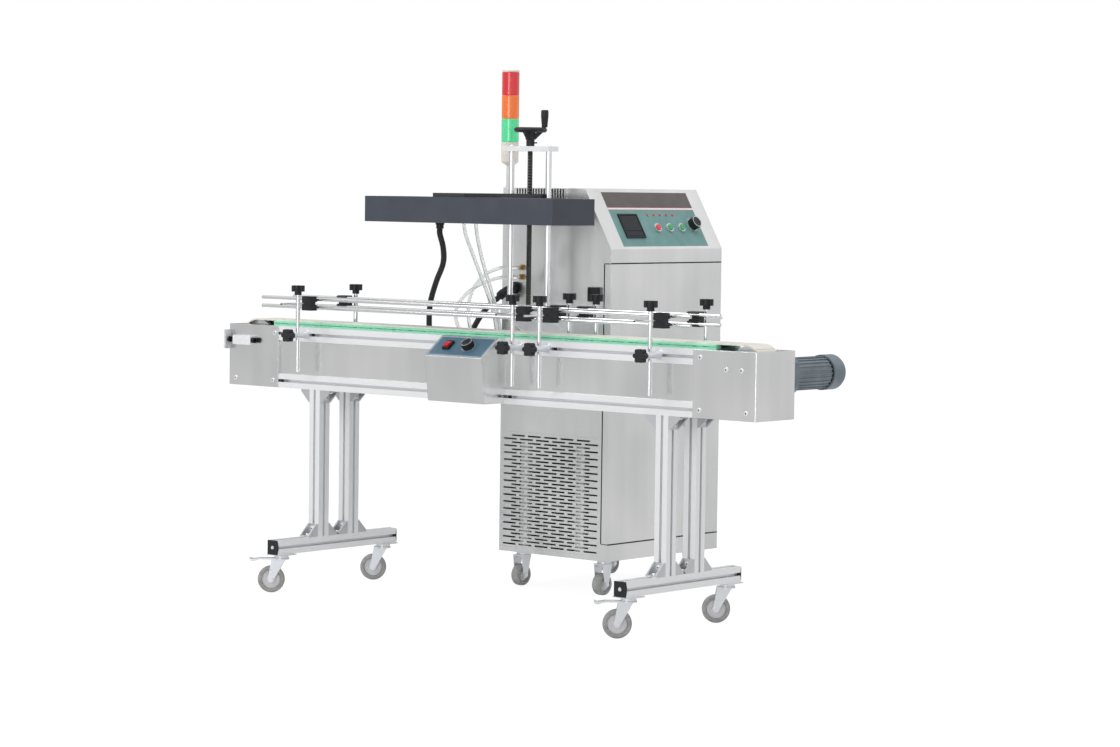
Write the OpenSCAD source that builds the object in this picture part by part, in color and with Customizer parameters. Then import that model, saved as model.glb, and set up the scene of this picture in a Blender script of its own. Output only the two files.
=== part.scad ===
// Induction cap sealer: a slat-chain conveyor on casters with a water-cooled sealing head
// that a handwheel raises and lowers on two columns in front of its power cabinet.
// X runs along the conveyor, +Y towards the cabinet, Z up from the floor.

/* [Conveyor] */
// Length over both end boxes
conv_l = 1890; // [1500:10:2400]
// Width over the side rails
conv_w = 160; // [150:1:190]
// Height of the chain's carrying face
chain_z = 750; // [700:5:900]
// Width of the chain's slats
chain_w = 82; // [70:1:88]
// Pitch of the slats
chain_pitch = 38.1; // [30:0.1:50]
// Thickness of a slat
slat_t = 4; // [3:0.5:5]
// Gap between two slats
slat_gap = 1.6; // [1:0.1:3]
// Radius of the chain wheels under the slats
wheel_r = 56; // [45:1:58]
// Height of the green wear strips
wear_h = 12; // [8:1:16]
// Width of the wear strips
wear_w = 22; // [16:1:24]
// Side of the slotted aluminium profile
rail_s = 40; // [40:1:45]
// Height of the stainless side panels
panel_h = 94; // [80:1:120]
// Depth of the side panels behind the rail faces
panel_inset = 6; // [3:1:10]
// Length of each end box
box_l = 200; // [190:5:260]
// Length of rail inside an end box
rail_lap = 40; // [30:1:50]
// Distance of the chain wheels from the box ends
wheel_in = 70; // [68:1:80]
// Thickness of the sheet metal
sheet_t = 2; // [1.5:0.1:3]
// Outer radius of the bends in the end boxes
bend_r = 4; // [3:0.5:6]
// Diameter of the chain wheel shafts
shaft_d = 20; // [16:1:24]

/* [Drive] */
// Side of the square gear head
gear_s = 90; // [80:1:100]
// Length of the gear head
gear_l = 36; // [34:1:60]
// Drop of the motor's axis below the chain wheel shaft
gear_drop = 22; // [15:1:25]
// Thickness of the motor's front flange
motor_flange = 14; // [10:1:20]
// Length of the ribbed motor body
motor_l = 151; // [120:1:180]
// Diameter over the motor's ribs
motor_d = 86; // [76:1:90]
// Length of the fan cover
cowl_l = 63; // [40:1:80]

/* [Legs] */
// Distance of the left leg from the middle of the conveyor
leg_left = 600; // [450:5:650]
// Distance of the right leg from the middle of the conveyor
leg_right = 646; // [450:5:680]
// Length of a foot beam
foot_l = 480; // [420:5:600]
// Thickness of the foot beams' end caps
cap_t = 4; // [3:0.5:6]
// Leg length of a corner bracket
gusset = 36; // [25:1:38]
// Wall of a corner bracket
gusset_t = 5; // [3:0.5:7]

/* [Casters] */
// Height of a conveyor caster
caster_h = 108; // [104:1:130]
// Diameter of a conveyor caster wheel
tyre_d = 75; // [60:1:80]
// Width of a conveyor caster wheel
tyre_w = 24; // [20:1:28]
// Height of a cabinet caster
cab_caster_h = 100; // [90:1:110]
// Diameter of a cabinet caster wheel
cab_tyre_d = 62; // [50:1:66]
// Width of a cabinet caster wheel
cab_tyre_w = 27; // [22:1:30]
// Trail of the wheels behind the swivel
trail = 28; // [24:1:32]
// Trail of the cabinet's wheels
cab_trail = 10; // [8:1:24]
// Distance of a conveyor caster from the end of its foot beam
caster_in = 35; // [31:1:60]
// Distance of the cabinet casters from its edges
cab_caster_in = 50; // [42:1:80]
// Turn of the conveyor casters as they stand
caster_turn = 40; // [0:1:80]
// Reach of the brake pedals from the swivel
pedal_l = 88; // [80:1:100]
// Width of the brake pedals
pedal_w = 28; // [20:1:36]

/* [Guide rails] */
// Distance of the posts outside the rails
post_out = 36; // [30:1:45]
// Diameter of a post
post_d = 12; // [10:1:14]
// Height of a post's lower end
post_z = 611; // [600:1:640]
// Height of the cross rods
guide_z = 802; // [790:1:830]
// Distance of the guide rods from the chain's centre line
guide_y = 62; // [50:1:70]
// Diameter of a guide rod
guide_d = 10; // [8:1:12]
// Distance between the two rods of one guide
guide_pitch = 24; // [20:1:30]
// Diameter of a cross rod
cross_d = 6; // [5:0.5:8]
// Reach of the cross rods outside their posts
cross_out = 66; // [50:1:90]
// Diameter of a star knob
star_d = 38; // [30:1:42]

/* [Speed box] */
// Width of the speed control box
speed_w = 202; // [180:1:230]
// Place of the speed box along the conveyor
speed_x = 8; // [-20:1:12]
// Depth of the box at its foot
speed_d0 = 80; // [70:1:90]
// Depth of the box at its brow
speed_d1 = 95; // [85:1:110]
// Height of its front face
speed_h = 122; // [110:1:130]
// Depth of the box's flat top
speed_top = 25; // [15:1:35]

/* [Cabinet] */
// Width of the cabinet
cab_w = 400; // [380:5:440]
// Depth of the cabinet
cab_d = 500; // [490:5:560]
// Height of the cabinet's top
cab_top = 1135; // [1100:5:1180]
// Distance between the conveyor's rear rail and the cabinet
cab_gap = 280; // [260:5:320]
// Place of the cabinet along the conveyor
cab_off = -91; // [-120:1:-60]
// Thickness of the cabinet's sheet metal
wall = 2.5; // [2:0.1:3.5]
// Height of the plinth under the door
plinth_h = 47; // [35:1:60]
// Height of the lower edge of the sloping console
slope_z = 968; // [950:1:985]
// Set-back of the console's top edge
slope_run = 97; // [80:1:120]
// Height of the fascia above the door
fascia_h = 39; // [30:1:50]
// Depth of the folded door
door_d = 22; // [18:1:26]
// Gap round the door
door_gap = 2; // [1.5:0.1:3]
// Diameter of the door's hinge pins
hinge_d = 6; // [5:0.5:8]
// Length of a grille slot
slot_l = 48; // [35:1:52]
// Height of a grille slot
slot_h = 4.5; // [3:0.1:5]
// Number of slot rows in the grille
slot_rows = 32; // [20:1:33]

/* [Lift] */
// Diameter of the lift columns
col_d = 16; // [14:1:20]
// Distance between the columns
col_pitch = 136; // [130:1:150]
// Distance of the columns from the cabinet
col_out = 96; // [80:1:110]
// Place of the lift across the cabinet
lift_x = -18; // [-30:1:30]
// Height of the base plate's upper face
base_z = 800; // [780:1:830]
// Length of the columns between their plates
col_l = 436; // [420:1:500]
// Thickness of the base and top plates
plate_t = 14; // [12:1:18]
// Diameter of the lead screw
screw_d = 14; // [12:1:16]
// Radius of the handwheel to the middle of its rim
hand_r = 39; // [34:1:50]
// Height of the handwheel's rim above its hub's foot
hand_h = 52; // [44:1:60]

/* [Sealing head] */
// Length of the sealing head
head_l = 680; // [600:5:760]
// Width of the sealing head
head_w = 172; // [160:1:182]
// Height of the sealing head
head_h = 70; // [60:1:80]
// Clear height between chain and head
head_gap = 287; // [250:1:300]
// Place of the head along the conveyor
head_off = -66; // [-90:1:-40]
// Wall of the head's housing
head_t = 3; // [2:0.5:5]
// Width of the arm plate
arm_w = 114; // [90:1:116]
// Thickness of the arm plate
arm_t = 11; // [8:1:14]

/* [Tower light] */
// Diameter of the signal lenses
lens_d = 49; // [40:1:50]
// Height of one signal lens
lens_h = 66; // [50:1:70]
// Diameter of the pole
pole_d = 18; // [14:1:22]
// Length of the pole
pole_l = 70; // [60:1:90]

/* [Console] */
// Diameter of a push button
button_d = 19; // [16:1:22]
// Diameter of the power knob
dial_d = 36; // [30:1:40]
// Width of the display
display_w = 84; // [70:1:100]
// Height of the display
display_h = 76; // [60:1:85]

/* [Hidden] */
// Radial clearance of running fits
fit = 0.05;
// Clear gap between parts that pass each other
gap = 0.4;
$fn = 48;

// Heights in the conveyor
wear_z = chain_z - slat_t - wear_h;
rail_z1 = wear_z - rail_s;
panel_z = rail_z1 - panel_h;
rail_z0 = panel_z - rail_s;
shaft_z = chain_z - slat_t - wheel_r;
chain_r = wheel_r + slat_t;
rail_y = (conv_w - rail_s) / 2;
rail_l = conv_l - 2 * (box_l - rail_lap);
shaft_x = conv_l / 2 - wheel_in;
inner_w = conv_w - 2 * rail_s;
wear_y = inner_w / 2 - 10;
box_y = conv_w / 2 + sheet_t;

// Heights in the legs
foot_z = caster_h;
leg_z = caster_h + rail_s;
leg_h = rail_z0 - leg_z;
leg_xs = [-leg_left, leg_right];
caster_y = foot_l / 2 - caster_in;

// Chain slats on the straight runs and round the wheels
run_n = round(2 * shaft_x / chain_pitch);
run_p = 2 * shaft_x / run_n;
bend_n = round(PI * (wheel_r + slat_t / 2) / chain_pitch);

// Guide posts
post_xs = [-633, 166, 260, 632];
post_y = conv_w / 2 + post_out;
post_top = guide_z + guide_pitch;
clamp_z = rail_z1 + rail_s / 2;
clamp_y = guide_y + 12;
clamp_t = 18;
rod_left = [-829, 211];
rod_right = [215, 719];

// The conveyor and the cabinet share one frame, centred on the whole machine
front_y = -caster_y - pedal_l * sin(caster_turn) - pedal_w / 2 * cos(caster_turn);
cab_front = conv_w / 2 + cab_gap;
conv_y = -(front_y + cab_front + cab_d) / 2;
cab_y = conv_y + cab_front;

// Cabinet
cab_z = cab_caster_h;
door_z0 = cab_z + plinth_h;
door_z1 = slope_z - fascia_h;
jamb_x = cab_w / 2 - door_d - door_gap;
slope_a = atan2(slope_run, cab_top - slope_z);
slope_l = norm([slope_run, cab_top - slope_z]);
hinge_x = cab_w / 2 - 8;
hinge_y = cab_d - 8;
slot_px = 60;
slot_py = 10;
grille_x0 = 8 - cab_w / 2;
grille_w = jamb_x - 8 - grille_x0;
grille_z = cab_z + 12;
grille_h = (slot_rows - 1) * slot_py + slot_h + 16;
vent_x0 = 40 - cab_w / 2;
vent_w = 198;
vent_h = 72;
vent_z = cab_top - wall - 8 - vent_h;
shelf_z = 500;

// Lift and head
col_y = -col_out;
plate_l = col_pitch + 34;
plate_d = 42;
top_z = base_z + col_l;
head_z = chain_z + head_gap;
head_top = head_z + head_h;
arm_y0 = -head_w / 2 + 15;
lift_cx = cab_off + lift_x;
lift_cy = cab_front + col_y;
car_w = col_pitch + 48;
car_d = 52;
car_h = 62;
hand_z = top_z + plate_t + gap;

// Console places: distance from the cabinet's front, height up the slope
button_ys = [243, 298, 352];
button_v = 67;
dial_y = 409;
dial_v = 77;
led_ys = [223, 252, 280, 309, 337];
display_y = 131;
display_v = 73;

// Cords: diameter and route, as distances from the conveyor's middle, chain line and floor
cable_d = 16;
cable_pts = [[-266, 68, 1019], [-266, 68, 1004], [-264, 80, 966], [-291, 110, 922], [-345, 140, 866],
    [-383, 158, 802], [-392, 166, 731], [-390, 177, 690], [-380, 200, 660], [-368, 230, 649],
    [-357, 259, 661], [-349, 280, 690], [-343, 292, 726], [-324, 305, 768], [-298, 317, 803],
    [-279, 324, 819], [-267, 324, 828]];
hose_d = 10;
hose_a_pts = [[-212, 106, 1085], [-212, 116, 1085], [-212, 140, 1073], [-211, 153, 1045], [-206, 156, 1000],
    [-188, 160, 928], [-158, 178, 815], [-154, 196, 745], [-178, 212, 704], [-232, 220, 690],
    [-296, 220, 706], [-334, 218, 750], [-338, 220, 794], [-318, 236, 832], [-290, 262, 860],
    [-258, 290, 877], [-232, 314, 883], [-217, 338, 883], [-217, 346, 883]];
hose_b_pts = [[-257, 106, 1085], [-257, 116, 1085], [-257, 140, 1073], [-256, 153, 1045], [-250, 158, 1000],
    [-222, 168, 928], [-188, 194, 815], [-184, 214, 745], [-206, 236, 690], [-248, 246, 670],
    [-292, 250, 688], [-314, 250, 740], [-322, 252, 800], [-314, 264, 850], [-292, 288, 888],
    [-260, 308, 906], [-232, 322, 911], [-217, 340, 910], [-217, 346, 910]];
// Elbow of the cable at the cabinet: its bend, and its slant below the level
elbow_r = 26;
elbow_a = 36.87;

steel = "#c8c9c6";
alu = "#d8d9dc";
zinc = "#b9bcc0";
black = "#26282b";
slate = "#4f545e";

// Frames of the two halves of the machine
module on_conveyor() { translate([0, conv_y, 0]) children(); }
module on_cabinet() { translate([cab_off, cab_y, 0]) children(); }
module on_slope(y, v) {
    on_cabinet() translate([cab_w / 2, 0, slope_z]) rotate([0, -slope_a, 0]) translate([0, y, v]) children();
}

// Box from one corner to the other
module slab(a, b) { translate(a) cube(b - a); }
// Round bar along Y or X from one place to another
module rod_y(d, x, y0, y1, z) { translate([x, y0, z]) rotate([-90, 0, 0]) cylinder(d = d, h = y1 - y0); }
module rod_x(d, x0, x1, y, z) { translate([x0, y, z]) rotate([0, 90, 0]) cylinder(d = d, h = x1 - x0); }

// Slotted aluminium profile: square outline, a T-slot in each side and a core hole
module slot_profile() {
    h = rail_s / 2;
    difference() {
        square(rail_s, center = true);
        for (a = [0 : 90 : 270]) rotate(a) translate([0, h])
            polygon([[-4, 1], [-4, -4.5], [-10, -4.5], [-10, -7], [-5, -12],
                [5, -12], [10, -7], [10, -4.5], [4, -4.5], [4, 1]]);
        circle(d = 7);
    }
}
module bar_x(l) { rotate([0, 90, 0]) linear_extrude(l, center = true) slot_profile(); }
module bar_y(l) { rotate([90, 0, 0]) linear_extrude(l, center = true) slot_profile(); }
module bar_z(l) { linear_extrude(l) slot_profile(); }

// Four long rails and three ties between the lower ones
module frame_rails() {
    color(alu) on_conveyor() {
        for (s = [-1, 1], z = [rail_z0, rail_z1]) translate([0, s * rail_y, z + rail_s / 2]) bar_x(rail_l);
        for (x = [leg_xs[0], (leg_xs[0] + leg_xs[1]) / 2, leg_xs[1]])
            translate([x, 0, rail_z0 + rail_s / 2]) bar_y(inner_w);
    }
}

module side_panels() {
    y = conv_w / 2 - panel_inset;
    color(steel) on_conveyor() {
        slab([-rail_l / 2, -y, panel_z], [rail_l / 2, sheet_t - y, rail_z1]);
        slab([-rail_l / 2, y - sheet_t, panel_z], [rail_l / 2, y, rail_z1]);
    }
}

// Plastic strips that carry the chain, with a groove along the outer face
module wear_strips() {
    l = rail_l + 16;
    color("#8fdcb4") on_conveyor() for (s = [-1, 1])
        rotate([90, 0, 90]) linear_extrude(l, center = true) scale([s, 1]) translate([wear_y, wear_z])
            polygon([[0, 0], [wear_w, 0], [wear_w, wear_h / 2 - 1], [wear_w - 1, wear_h / 2],
                [wear_w, wear_h / 2 + 1], [wear_w, wear_h - 1.5], [wear_w - 1.5, wear_h], [0, wear_h]]);
}

// Outline of the chain's loop at a given radius
module loop_2d(r) {
    for (s = [-1, 1]) translate([s * shaft_x, 0]) circle(r, $fn = 96);
    square([2 * shaft_x, 2 * r], center = true);
}

// Endless slat chain: a hinge band that carries the slats, with a gap between each two
module slat_chain() {
    cut = slat_t - 1.5;
    color("#e4e0d4") on_conveyor() translate([0, chain_w / 2, shaft_z]) rotate([90, 0, 0])
        linear_extrude(chain_w) difference() {
            loop_2d(chain_r);
            loop_2d(wheel_r);
            for (i = [0 : run_n], s = [-1, 1])
                translate([-shaft_x + i * run_p - slat_gap / 2, s > 0 ? chain_r - cut : -chain_r - 1])
                    square([slat_gap, cut + 1]);
            for (i = [1 : bend_n - 1], s = [-1, 1])
                translate([s * shaft_x, 0]) rotate(s * (90 - i * 180 / bend_n) + (s > 0 ? 0 : 180))
                    translate([chain_r - cut, -slat_gap / 2]) square([cut + 1, slat_gap]);
        }
}

// Plan of an end box: a square-cornered inner edge and two bends of a given outer radius
module box_plan(l, y, r) {
    translate([0, -y]) square([l - r, 2 * y]);
    translate([0, r - y]) square([l, 2 * (y - r)]);
    for (s = [-1, 1]) translate([l - r, s * (y - r)]) circle(r);
}

// Folded end box from its inner edge outwards: a bent wall, a floor, an open-topped lid and two return flanges
module end_box() {
    y = box_y;
    z1 = rail_z1 + rail_s;
    slot_y = chain_w / 2 + 5;
    panel_y = conv_w / 2 - panel_inset + gap / 2;
    translate([0, 0, rail_z0]) linear_extrude(z1 - rail_z0) difference() {
        box_plan(box_l, y, bend_r);
        translate([-1, 0]) box_plan(box_l - sheet_t + 1, y - sheet_t, bend_r - sheet_t);
    }
    for (s = [-1, 1]) scale([1, s, 1])
        slab([0, panel_y, panel_z + gap], [sheet_t, y - sheet_t / 2, rail_z1 - gap]);
    slab([rail_lap, sheet_t / 2 - y, rail_z0], [box_l - sheet_t / 2, y - sheet_t / 2, rail_z0 + sheet_t]);
    difference() {
        slab([rail_lap, sheet_t / 2 - y, z1 - sheet_t], [box_l - sheet_t / 2, y - sheet_t / 2, z1]);
        slab([0, -slot_y, z1 - sheet_t - 1], [box_l - wheel_in + wheel_r - 6, slot_y, z1 + 1]);
    }
}

// Drive box with the wheel shaft's flange bearing inside its front cheek
module drive_box() {
    color(steel) on_conveyor() {
        difference() {
            translate([conv_l / 2 - box_l, 0, 0]) end_box();
            rod_y(shaft_d + 10, shaft_x, conv_w / 2 - 1, box_y + 1, shaft_z);
        }
        difference() {
            union() {
                rod_y(44, shaft_x, -conv_w / 2, 16 - conv_w / 2, shaft_z);
                slab([shaft_x - 34, -conv_w / 2, shaft_z - 14], [shaft_x + 34, 9 - conv_w / 2, shaft_z + 14]);
            }
            rod_y(shaft_d + 2 * fit, shaft_x, -conv_w / 2 + 2, 20 - conv_w / 2, shaft_z);
        }
    }
}

// Idler box: its cheeks are slotted so that the idler shaft can be drawn out to tighten the chain
module idler_box() {
    color(steel) on_conveyor() difference() {
        translate([box_l - conv_l / 2, 0, 0]) mirror([1, 0, 0]) end_box();
        for (s = [-1, 1])
            slab([-shaft_x - 30, s * conv_w / 2 - 4, shaft_z - shaft_d / 2 - 2],
                [30 - shaft_x, s * conv_w / 2 + 4, shaft_z + shaft_d / 2 + 2]);
    }
}

// Chain take-ups: a bearing block on each cheek, its draw screw, nut and anchor plate
module take_ups() {
    x0 = -conv_l / 2;
    color(alu) on_conveyor() for (s = [-1, 1]) scale([1, s, 1]) {
        difference() {
            slab([-shaft_x - 36, box_y, shaft_z - 13], [36 - shaft_x, box_y + 19, shaft_z + 13]);
            rod_y(shaft_d + 2 * fit, -shaft_x, box_y - 1, box_y + 14, shaft_z);
        }
        slab([x0, box_y, shaft_z - 27], [x0 + 6, box_y + 21, shaft_z + 27]);
        rod_x(8, x0 + 6, -shaft_x - 36, box_y + 10, shaft_z);
        translate([x0 + 10, box_y + 10, shaft_z]) rotate([0, 90, 0]) cylinder(d = 17, h = 8, $fn = 6);
        difference() {
            rod_x(16, 36 - shaft_x, 46 - shaft_x, box_y + 10, shaft_z);
            translate([41 - shaft_x, box_y + 10, shaft_z]) rotate([0, 90, 0]) cylinder(d = 9, h = 8, $fn = 6);
        }
    }
}

// Square gear head with rounded corners, bored for the end of the drive shaft
module gear_head() {
    z = shaft_z - gear_drop;
    h = gear_s / 2;
    color("#6c7780") on_conveyor() difference() {
        translate([shaft_x, box_y + gear_l, z]) rotate([90, 0, 0]) linear_extrude(gear_l) difference() {
            square(gear_s, center = true);
            for (a = [0 : 90 : 270]) rotate(a) translate([h, h]) rotate(45) square(16, center = true);
        }
        rod_y(shaft_d + 2 * fit, shaft_x, box_y - 1, box_y + 30, shaft_z);
    }
}

// Motor: square flange, ribbed body, band and domed fan cover
module motor() {
    y0 = box_y + gear_l;
    y1 = y0 + motor_flange;
    y2 = y1 + motor_l;
    r = motor_d / 2;
    rc = r + 3;
    color("#6c7780") on_conveyor() translate([shaft_x, 0, shaft_z - gear_drop]) {
        translate([0, y1, 0]) rotate([90, 0, 0]) linear_extrude(motor_flange) difference() {
            square(gear_s, center = true);
            for (a = [0 : 90 : 270]) rotate(a) translate([gear_s / 2, gear_s / 2]) rotate(45)
                square(18, center = true);
        }
        translate([0, y2, 0]) rotate([90, 0, 0]) linear_extrude(motor_l) {
            circle(r - 2.5);
            for (a = [0 : 15 : 345]) rotate(a) translate([0, -1.5]) square([r, 3]);
        }
        translate([0, y2, 0]) rotate([-90, 0, 0]) rotate_extrude()
            polygon([[0, 0], [r - 2, 0], [r - 2, 7], [rc, 7], [rc, cowl_l - 12], [rc - 4, cowl_l - 4],
                [rc - 12, cowl_l], [0, cowl_l]]);
    }
}

// Uprights, foot beams and the black caps in the beams' ends
module leg_profiles() {
    color(alu) on_conveyor() for (x = leg_xs) {
        for (s = [-1, 1]) translate([x, s * rail_y, leg_z]) bar_z(leg_h);
        translate([x, 0, foot_z + rail_s / 2]) bar_y(foot_l - 2 * cap_t);
        for (s = [-1, 1]) translate([x, s * (foot_l - cap_t) / 2, foot_z + rail_s / 2])
            cube([rail_s, cap_t, rail_s], center = true);
    }
}

// Cast corner bracket in the angle between +X and +Z: two flanges and two cheeks
module corner_bracket() {
    w = rail_s - 4;
    rotate([90, 0, 0]) translate([0, 0, -w / 2]) difference() {
        linear_extrude(w) polygon([[0, 0], [gusset, 0], [gusset, gusset_t], [gusset_t, gusset], [0, gusset]]);
        translate([0, 0, gusset_t]) linear_extrude(w - 2 * gusset_t)
            polygon([[gusset_t, gusset_t], [gusset + 1, gusset_t], [gusset_t, gusset + 1]]);
    }
}

module corner_brackets() {
    color("#cfd1d4") on_conveyor() for (x = leg_xs, s = [-1, 1]) {
        for (m = [0, 1]) translate([x + (m == 0 ? 1 : -1) * rail_s / 2, s * rail_y, rail_z0])
            mirror([m, 0, 0]) mirror([0, 0, 1]) corner_bracket();
        for (m = [-1, 1]) translate([x, s * rail_y + m * rail_s / 2, leg_z])
            rotate(m * 90) corner_bracket();
    }
}

// Side outline of the speed box: depth in front of the rails, height
module speed_2d(t) {
    z0 = rail_z0 + sheet_t;
    z1 = wear_z + sheet_t;
    polygon([[-t, z0 + t], [speed_d0 - t, z0 + t], [speed_d1 - t, z0 + speed_h - t / 2],
        [speed_top - t / 4, z1 - t], [-t, z1 - t]]);
}
speed_z = rail_z0 + sheet_t + speed_h;
speed_rise = wear_z + sheet_t - speed_z;
speed_a = atan2(speed_rise, speed_d1 - speed_top);
speed_v = norm([speed_rise, speed_d1 - speed_top]) / 2;
// Panel of the speed box: X across, Y up the slope from its middle, Z out of it
module on_speed(x) {
    on_conveyor() translate([speed_x + x, -conv_w / 2 - speed_d1, speed_z]) rotate([speed_a, 0, 0])
        translate([0, speed_v, 0]) children();
}
rocker_w = 15;
rocker_l = 23;
rocker_x = -46;
speed_dial_x = 26;
speed_dial_d = 34;

// Folded speed control box with the rocker's bezel
module speed_box() {
    color(steel) difference() {
        on_conveyor() translate([speed_x, -conv_w / 2, 0]) rotate([90, 0, -90]) difference() {
            linear_extrude(speed_w, center = true) speed_2d(0);
            linear_extrude(speed_w - 2 * sheet_t, center = true) speed_2d(sheet_t);
        }
        on_speed(rocker_x) cube([rocker_w + 2, rocker_l + 2, 30], center = true);
        on_speed(speed_dial_x) translate([0, 0, -15]) cylinder(d = 6 + 2 * fit, h = 30);
    }
    color(steel) on_conveyor() for (s = [-1, 1]) translate([speed_x + s * (speed_w - sheet_t) / 2, 0, 0])
        slab([-sheet_t / 2, -conv_w / 2 - 1, panel_z + gap], [sheet_t / 2, panel_inset - gap / 2 - conv_w / 2, rail_z1 - gap]);
    color(black) on_speed(rocker_x) difference() {
        translate([-rocker_w / 2 - 4, -rocker_l / 2 - 4, 0]) cube([rocker_w + 8, rocker_l + 8, 7]);
        translate([-rocker_w / 2 - gap, -rocker_l / 2 - 1, -1]) cube([rocker_w + 2 * gap, rocker_l + 2, 9]);
        rod_x(3 + 2 * fit, -rocker_w / 2 - 3, rocker_w / 2 + 3, 0, 3);
    }
}

// Caster pieces about the swivel axis, with the wheel trailing along +X
crown_t = 4;
race_h = 8;
pad_t = 3;
function crown_z(h) = h - pad_t - race_h - gap;
module caster_plate(h) {
    translate([-30, -30, h - pad_t]) cube([60, 60, pad_t]);
    translate([0, 0, h - pad_t - race_h]) cylinder(d = 40, h = race_h);
    translate([0, 0, crown_z(h) - crown_t - gap]) cylinder(d = 10, h = crown_t + 2 * gap);
    translate([0, 0, crown_z(h) - crown_t - gap - 5]) cylinder(d = 18, h = 5);
}
module caster_fork(h, d, w, t) {
    c = crown_z(h);
    difference() {
        union() {
            translate([0, 0, c - crown_t]) cylinder(d = 44, h = crown_t);
            translate([-14, -w / 2 - 4, c - crown_t]) cube([40, w + 8, crown_t]);
        }
        translate([0, 0, c - crown_t - 1]) cylinder(d = 10 + 2 * fit, h = crown_t + 2);
    }
    for (s = [-1, 1]) translate([0, s * (w / 2 + 2.75) + 1.25, 0]) rotate([90, 0, 0]) linear_extrude(2.5) {
        polygon([[-14, c], [26, c], [t + 9, d / 2], [t - 9, d / 2]]);
        translate([t, d / 2]) circle(9);
    }
    rod_y(8, t, -w / 2 - 4, w / 2 + 4, d / 2);
    for (s = [-1, 1]) translate([t, s * (w / 2 + 6), d / 2]) rotate([90, 0, 0])
        cylinder(d = 14, h = 4, center = true, $fn = 6);
}
// Rubber-tyred wheel, turned: rounded tread, dished sides, hub
module caster_wheel(d, w, t) {
    r = d / 2;
    translate([t, 0, r]) rotate([90, 0, 0]) rotate_extrude($fn = 64)
        polygon([[4 + fit, -w / 2 - 1], [11, -w / 2 - 1], [11, -w / 2 + 5], [r - 13, -w / 2 + 5],
            [r - 11, -w / 2], [r - 4, -w / 2], [r - 1, -w / 2 + 3], [r, -w / 2 + 8], [r, w / 2 - 8],
            [r - 1, w / 2 - 3], [r - 4, w / 2], [r - 11, w / 2], [r - 13, w / 2 - 5],
            [11, w / 2 - 5], [11, w / 2 + 1], [4 + fit, w / 2 + 1]]);
}
// Brake pedal: a tongue out of the crown with an upturned lip
module pedal(h) {
    c = crown_z(h);
    translate([0, pedal_w / 2, 0]) rotate([90, 0, 0]) linear_extrude(pedal_w)
        polygon([[18, c - crown_t], [60, c - crown_t], [pedal_l - 10, c - crown_t - 6], [pedal_l, c - crown_t - 2],
            [pedal_l, c], [pedal_l - 10, c - 3], [60, c], [18, c]]);
}
module at_caster(sx, sy) {
    on_conveyor() translate([leg_xs[sx], sy * caster_y, 0]) rotate(180 + caster_turn) children();
}
module at_cab_caster(sx, back) {
    on_cabinet() translate([sx * (cab_w / 2 - cab_caster_in), back ? cab_d - cab_caster_in : cab_caster_in, 0])
        rotate(270) children();
}

module caster_plates() {
    color(zinc) {
        for (sx = [0, 1], sy = [-1, 1]) at_caster(sx, sy) rotate(-caster_turn) caster_plate_turned();
        for (sx = [-1, 1], b = [false, true]) at_cab_caster(sx, b) caster_plate(cab_caster_h);
    }
}
module caster_plate_turned() { caster_plate(caster_h); }

module fork(sx, sy, brake) {
    color(zinc) at_caster(sx, sy) {
        caster_fork(caster_h, tyre_d, tyre_w, trail);
        if (brake) pedal(caster_h);
    }
}
module fork_front_left() { fork(0, -1, true); }
module fork_front_right() { fork(1, -1, true); }
module fork_rear_left() { fork(0, 1, false); }
module fork_rear_right() { fork(1, 1, false); }
module wheel(sx, sy) { color("#9d9d9b") at_caster(sx, sy) caster_wheel(tyre_d, tyre_w, trail); }
module wheel_front_left() { wheel(0, -1); }
module wheel_front_right() { wheel(1, -1); }
module wheel_rear_left() { wheel(0, 1); }
module wheel_rear_right() { wheel(1, 1); }
module cab_caster(sx, back) {
    color(zinc) at_cab_caster(sx, back) {
        caster_fork(cab_caster_h, cab_tyre_d, cab_tyre_w, cab_trail);
        caster_wheel(cab_tyre_d, cab_tyre_w, cab_trail);
    }
}
module cab_caster_front_left() { cab_caster(-1, false); }
module cab_caster_front_right() { cab_caster(1, false); }
module cab_caster_rear_left() { cab_caster(-1, true); }
module cab_caster_rear_right() { cab_caster(1, true); }

// Six-lobed star knob on a short hub, standing on Z = 0
module star_knob() {
    cylinder(d = star_d * 0.52, h = 10);
    translate([0, 0, 10]) linear_extrude(17) {
        circle(d = star_d * 0.72);
        for (a = [0 : 60 : 300]) rotate(a) translate([star_d / 2 - 6, 0]) circle(6, $fn = 24);
    }
}

// Eye clamps on the upper rails, each with its washer, barrel and star knob
module post_clamps() {
    y0 = conv_w / 2;
    y1 = post_y + 20;
    color(zinc) on_conveyor() for (x = post_xs, s = [-1, 1]) translate([x, 0, 0]) scale([1, s, 1]) {
        difference() {
            union() {
                rod_y(17, 0, y0, y1, clamp_z);
                rod_y(25, 0, y0, y0 + 6, clamp_z);
            }
            translate([0, post_y, clamp_z - 20]) cylinder(d = post_d + 2 * fit, h = 40);
        }
        translate([0, y1, clamp_z]) rotate([-90, 0, 0]) star_knob();
    }
}

// Posts of one guide: bored across for the cross rod, with a star knob on top
module posts(i, s) {
    color(alu) on_conveyor() for (x = [post_xs[i], post_xs[i + 1]]) translate([x, s * post_y, 0]) {
        difference() {
            translate([0, 0, post_z]) cylinder(d = post_d, h = post_top - post_z);
            rod_y(cross_d + 2 * fit, 0, -post_d, post_d, guide_z);
        }
        translate([0, 0, post_top]) star_knob();
    }
}
module posts_front_left() { posts(0, -1); }
module posts_front_right() { posts(2, -1); }
module posts_rear_left() { posts(0, 1); }
module posts_rear_right() { posts(2, 1); }

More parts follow.
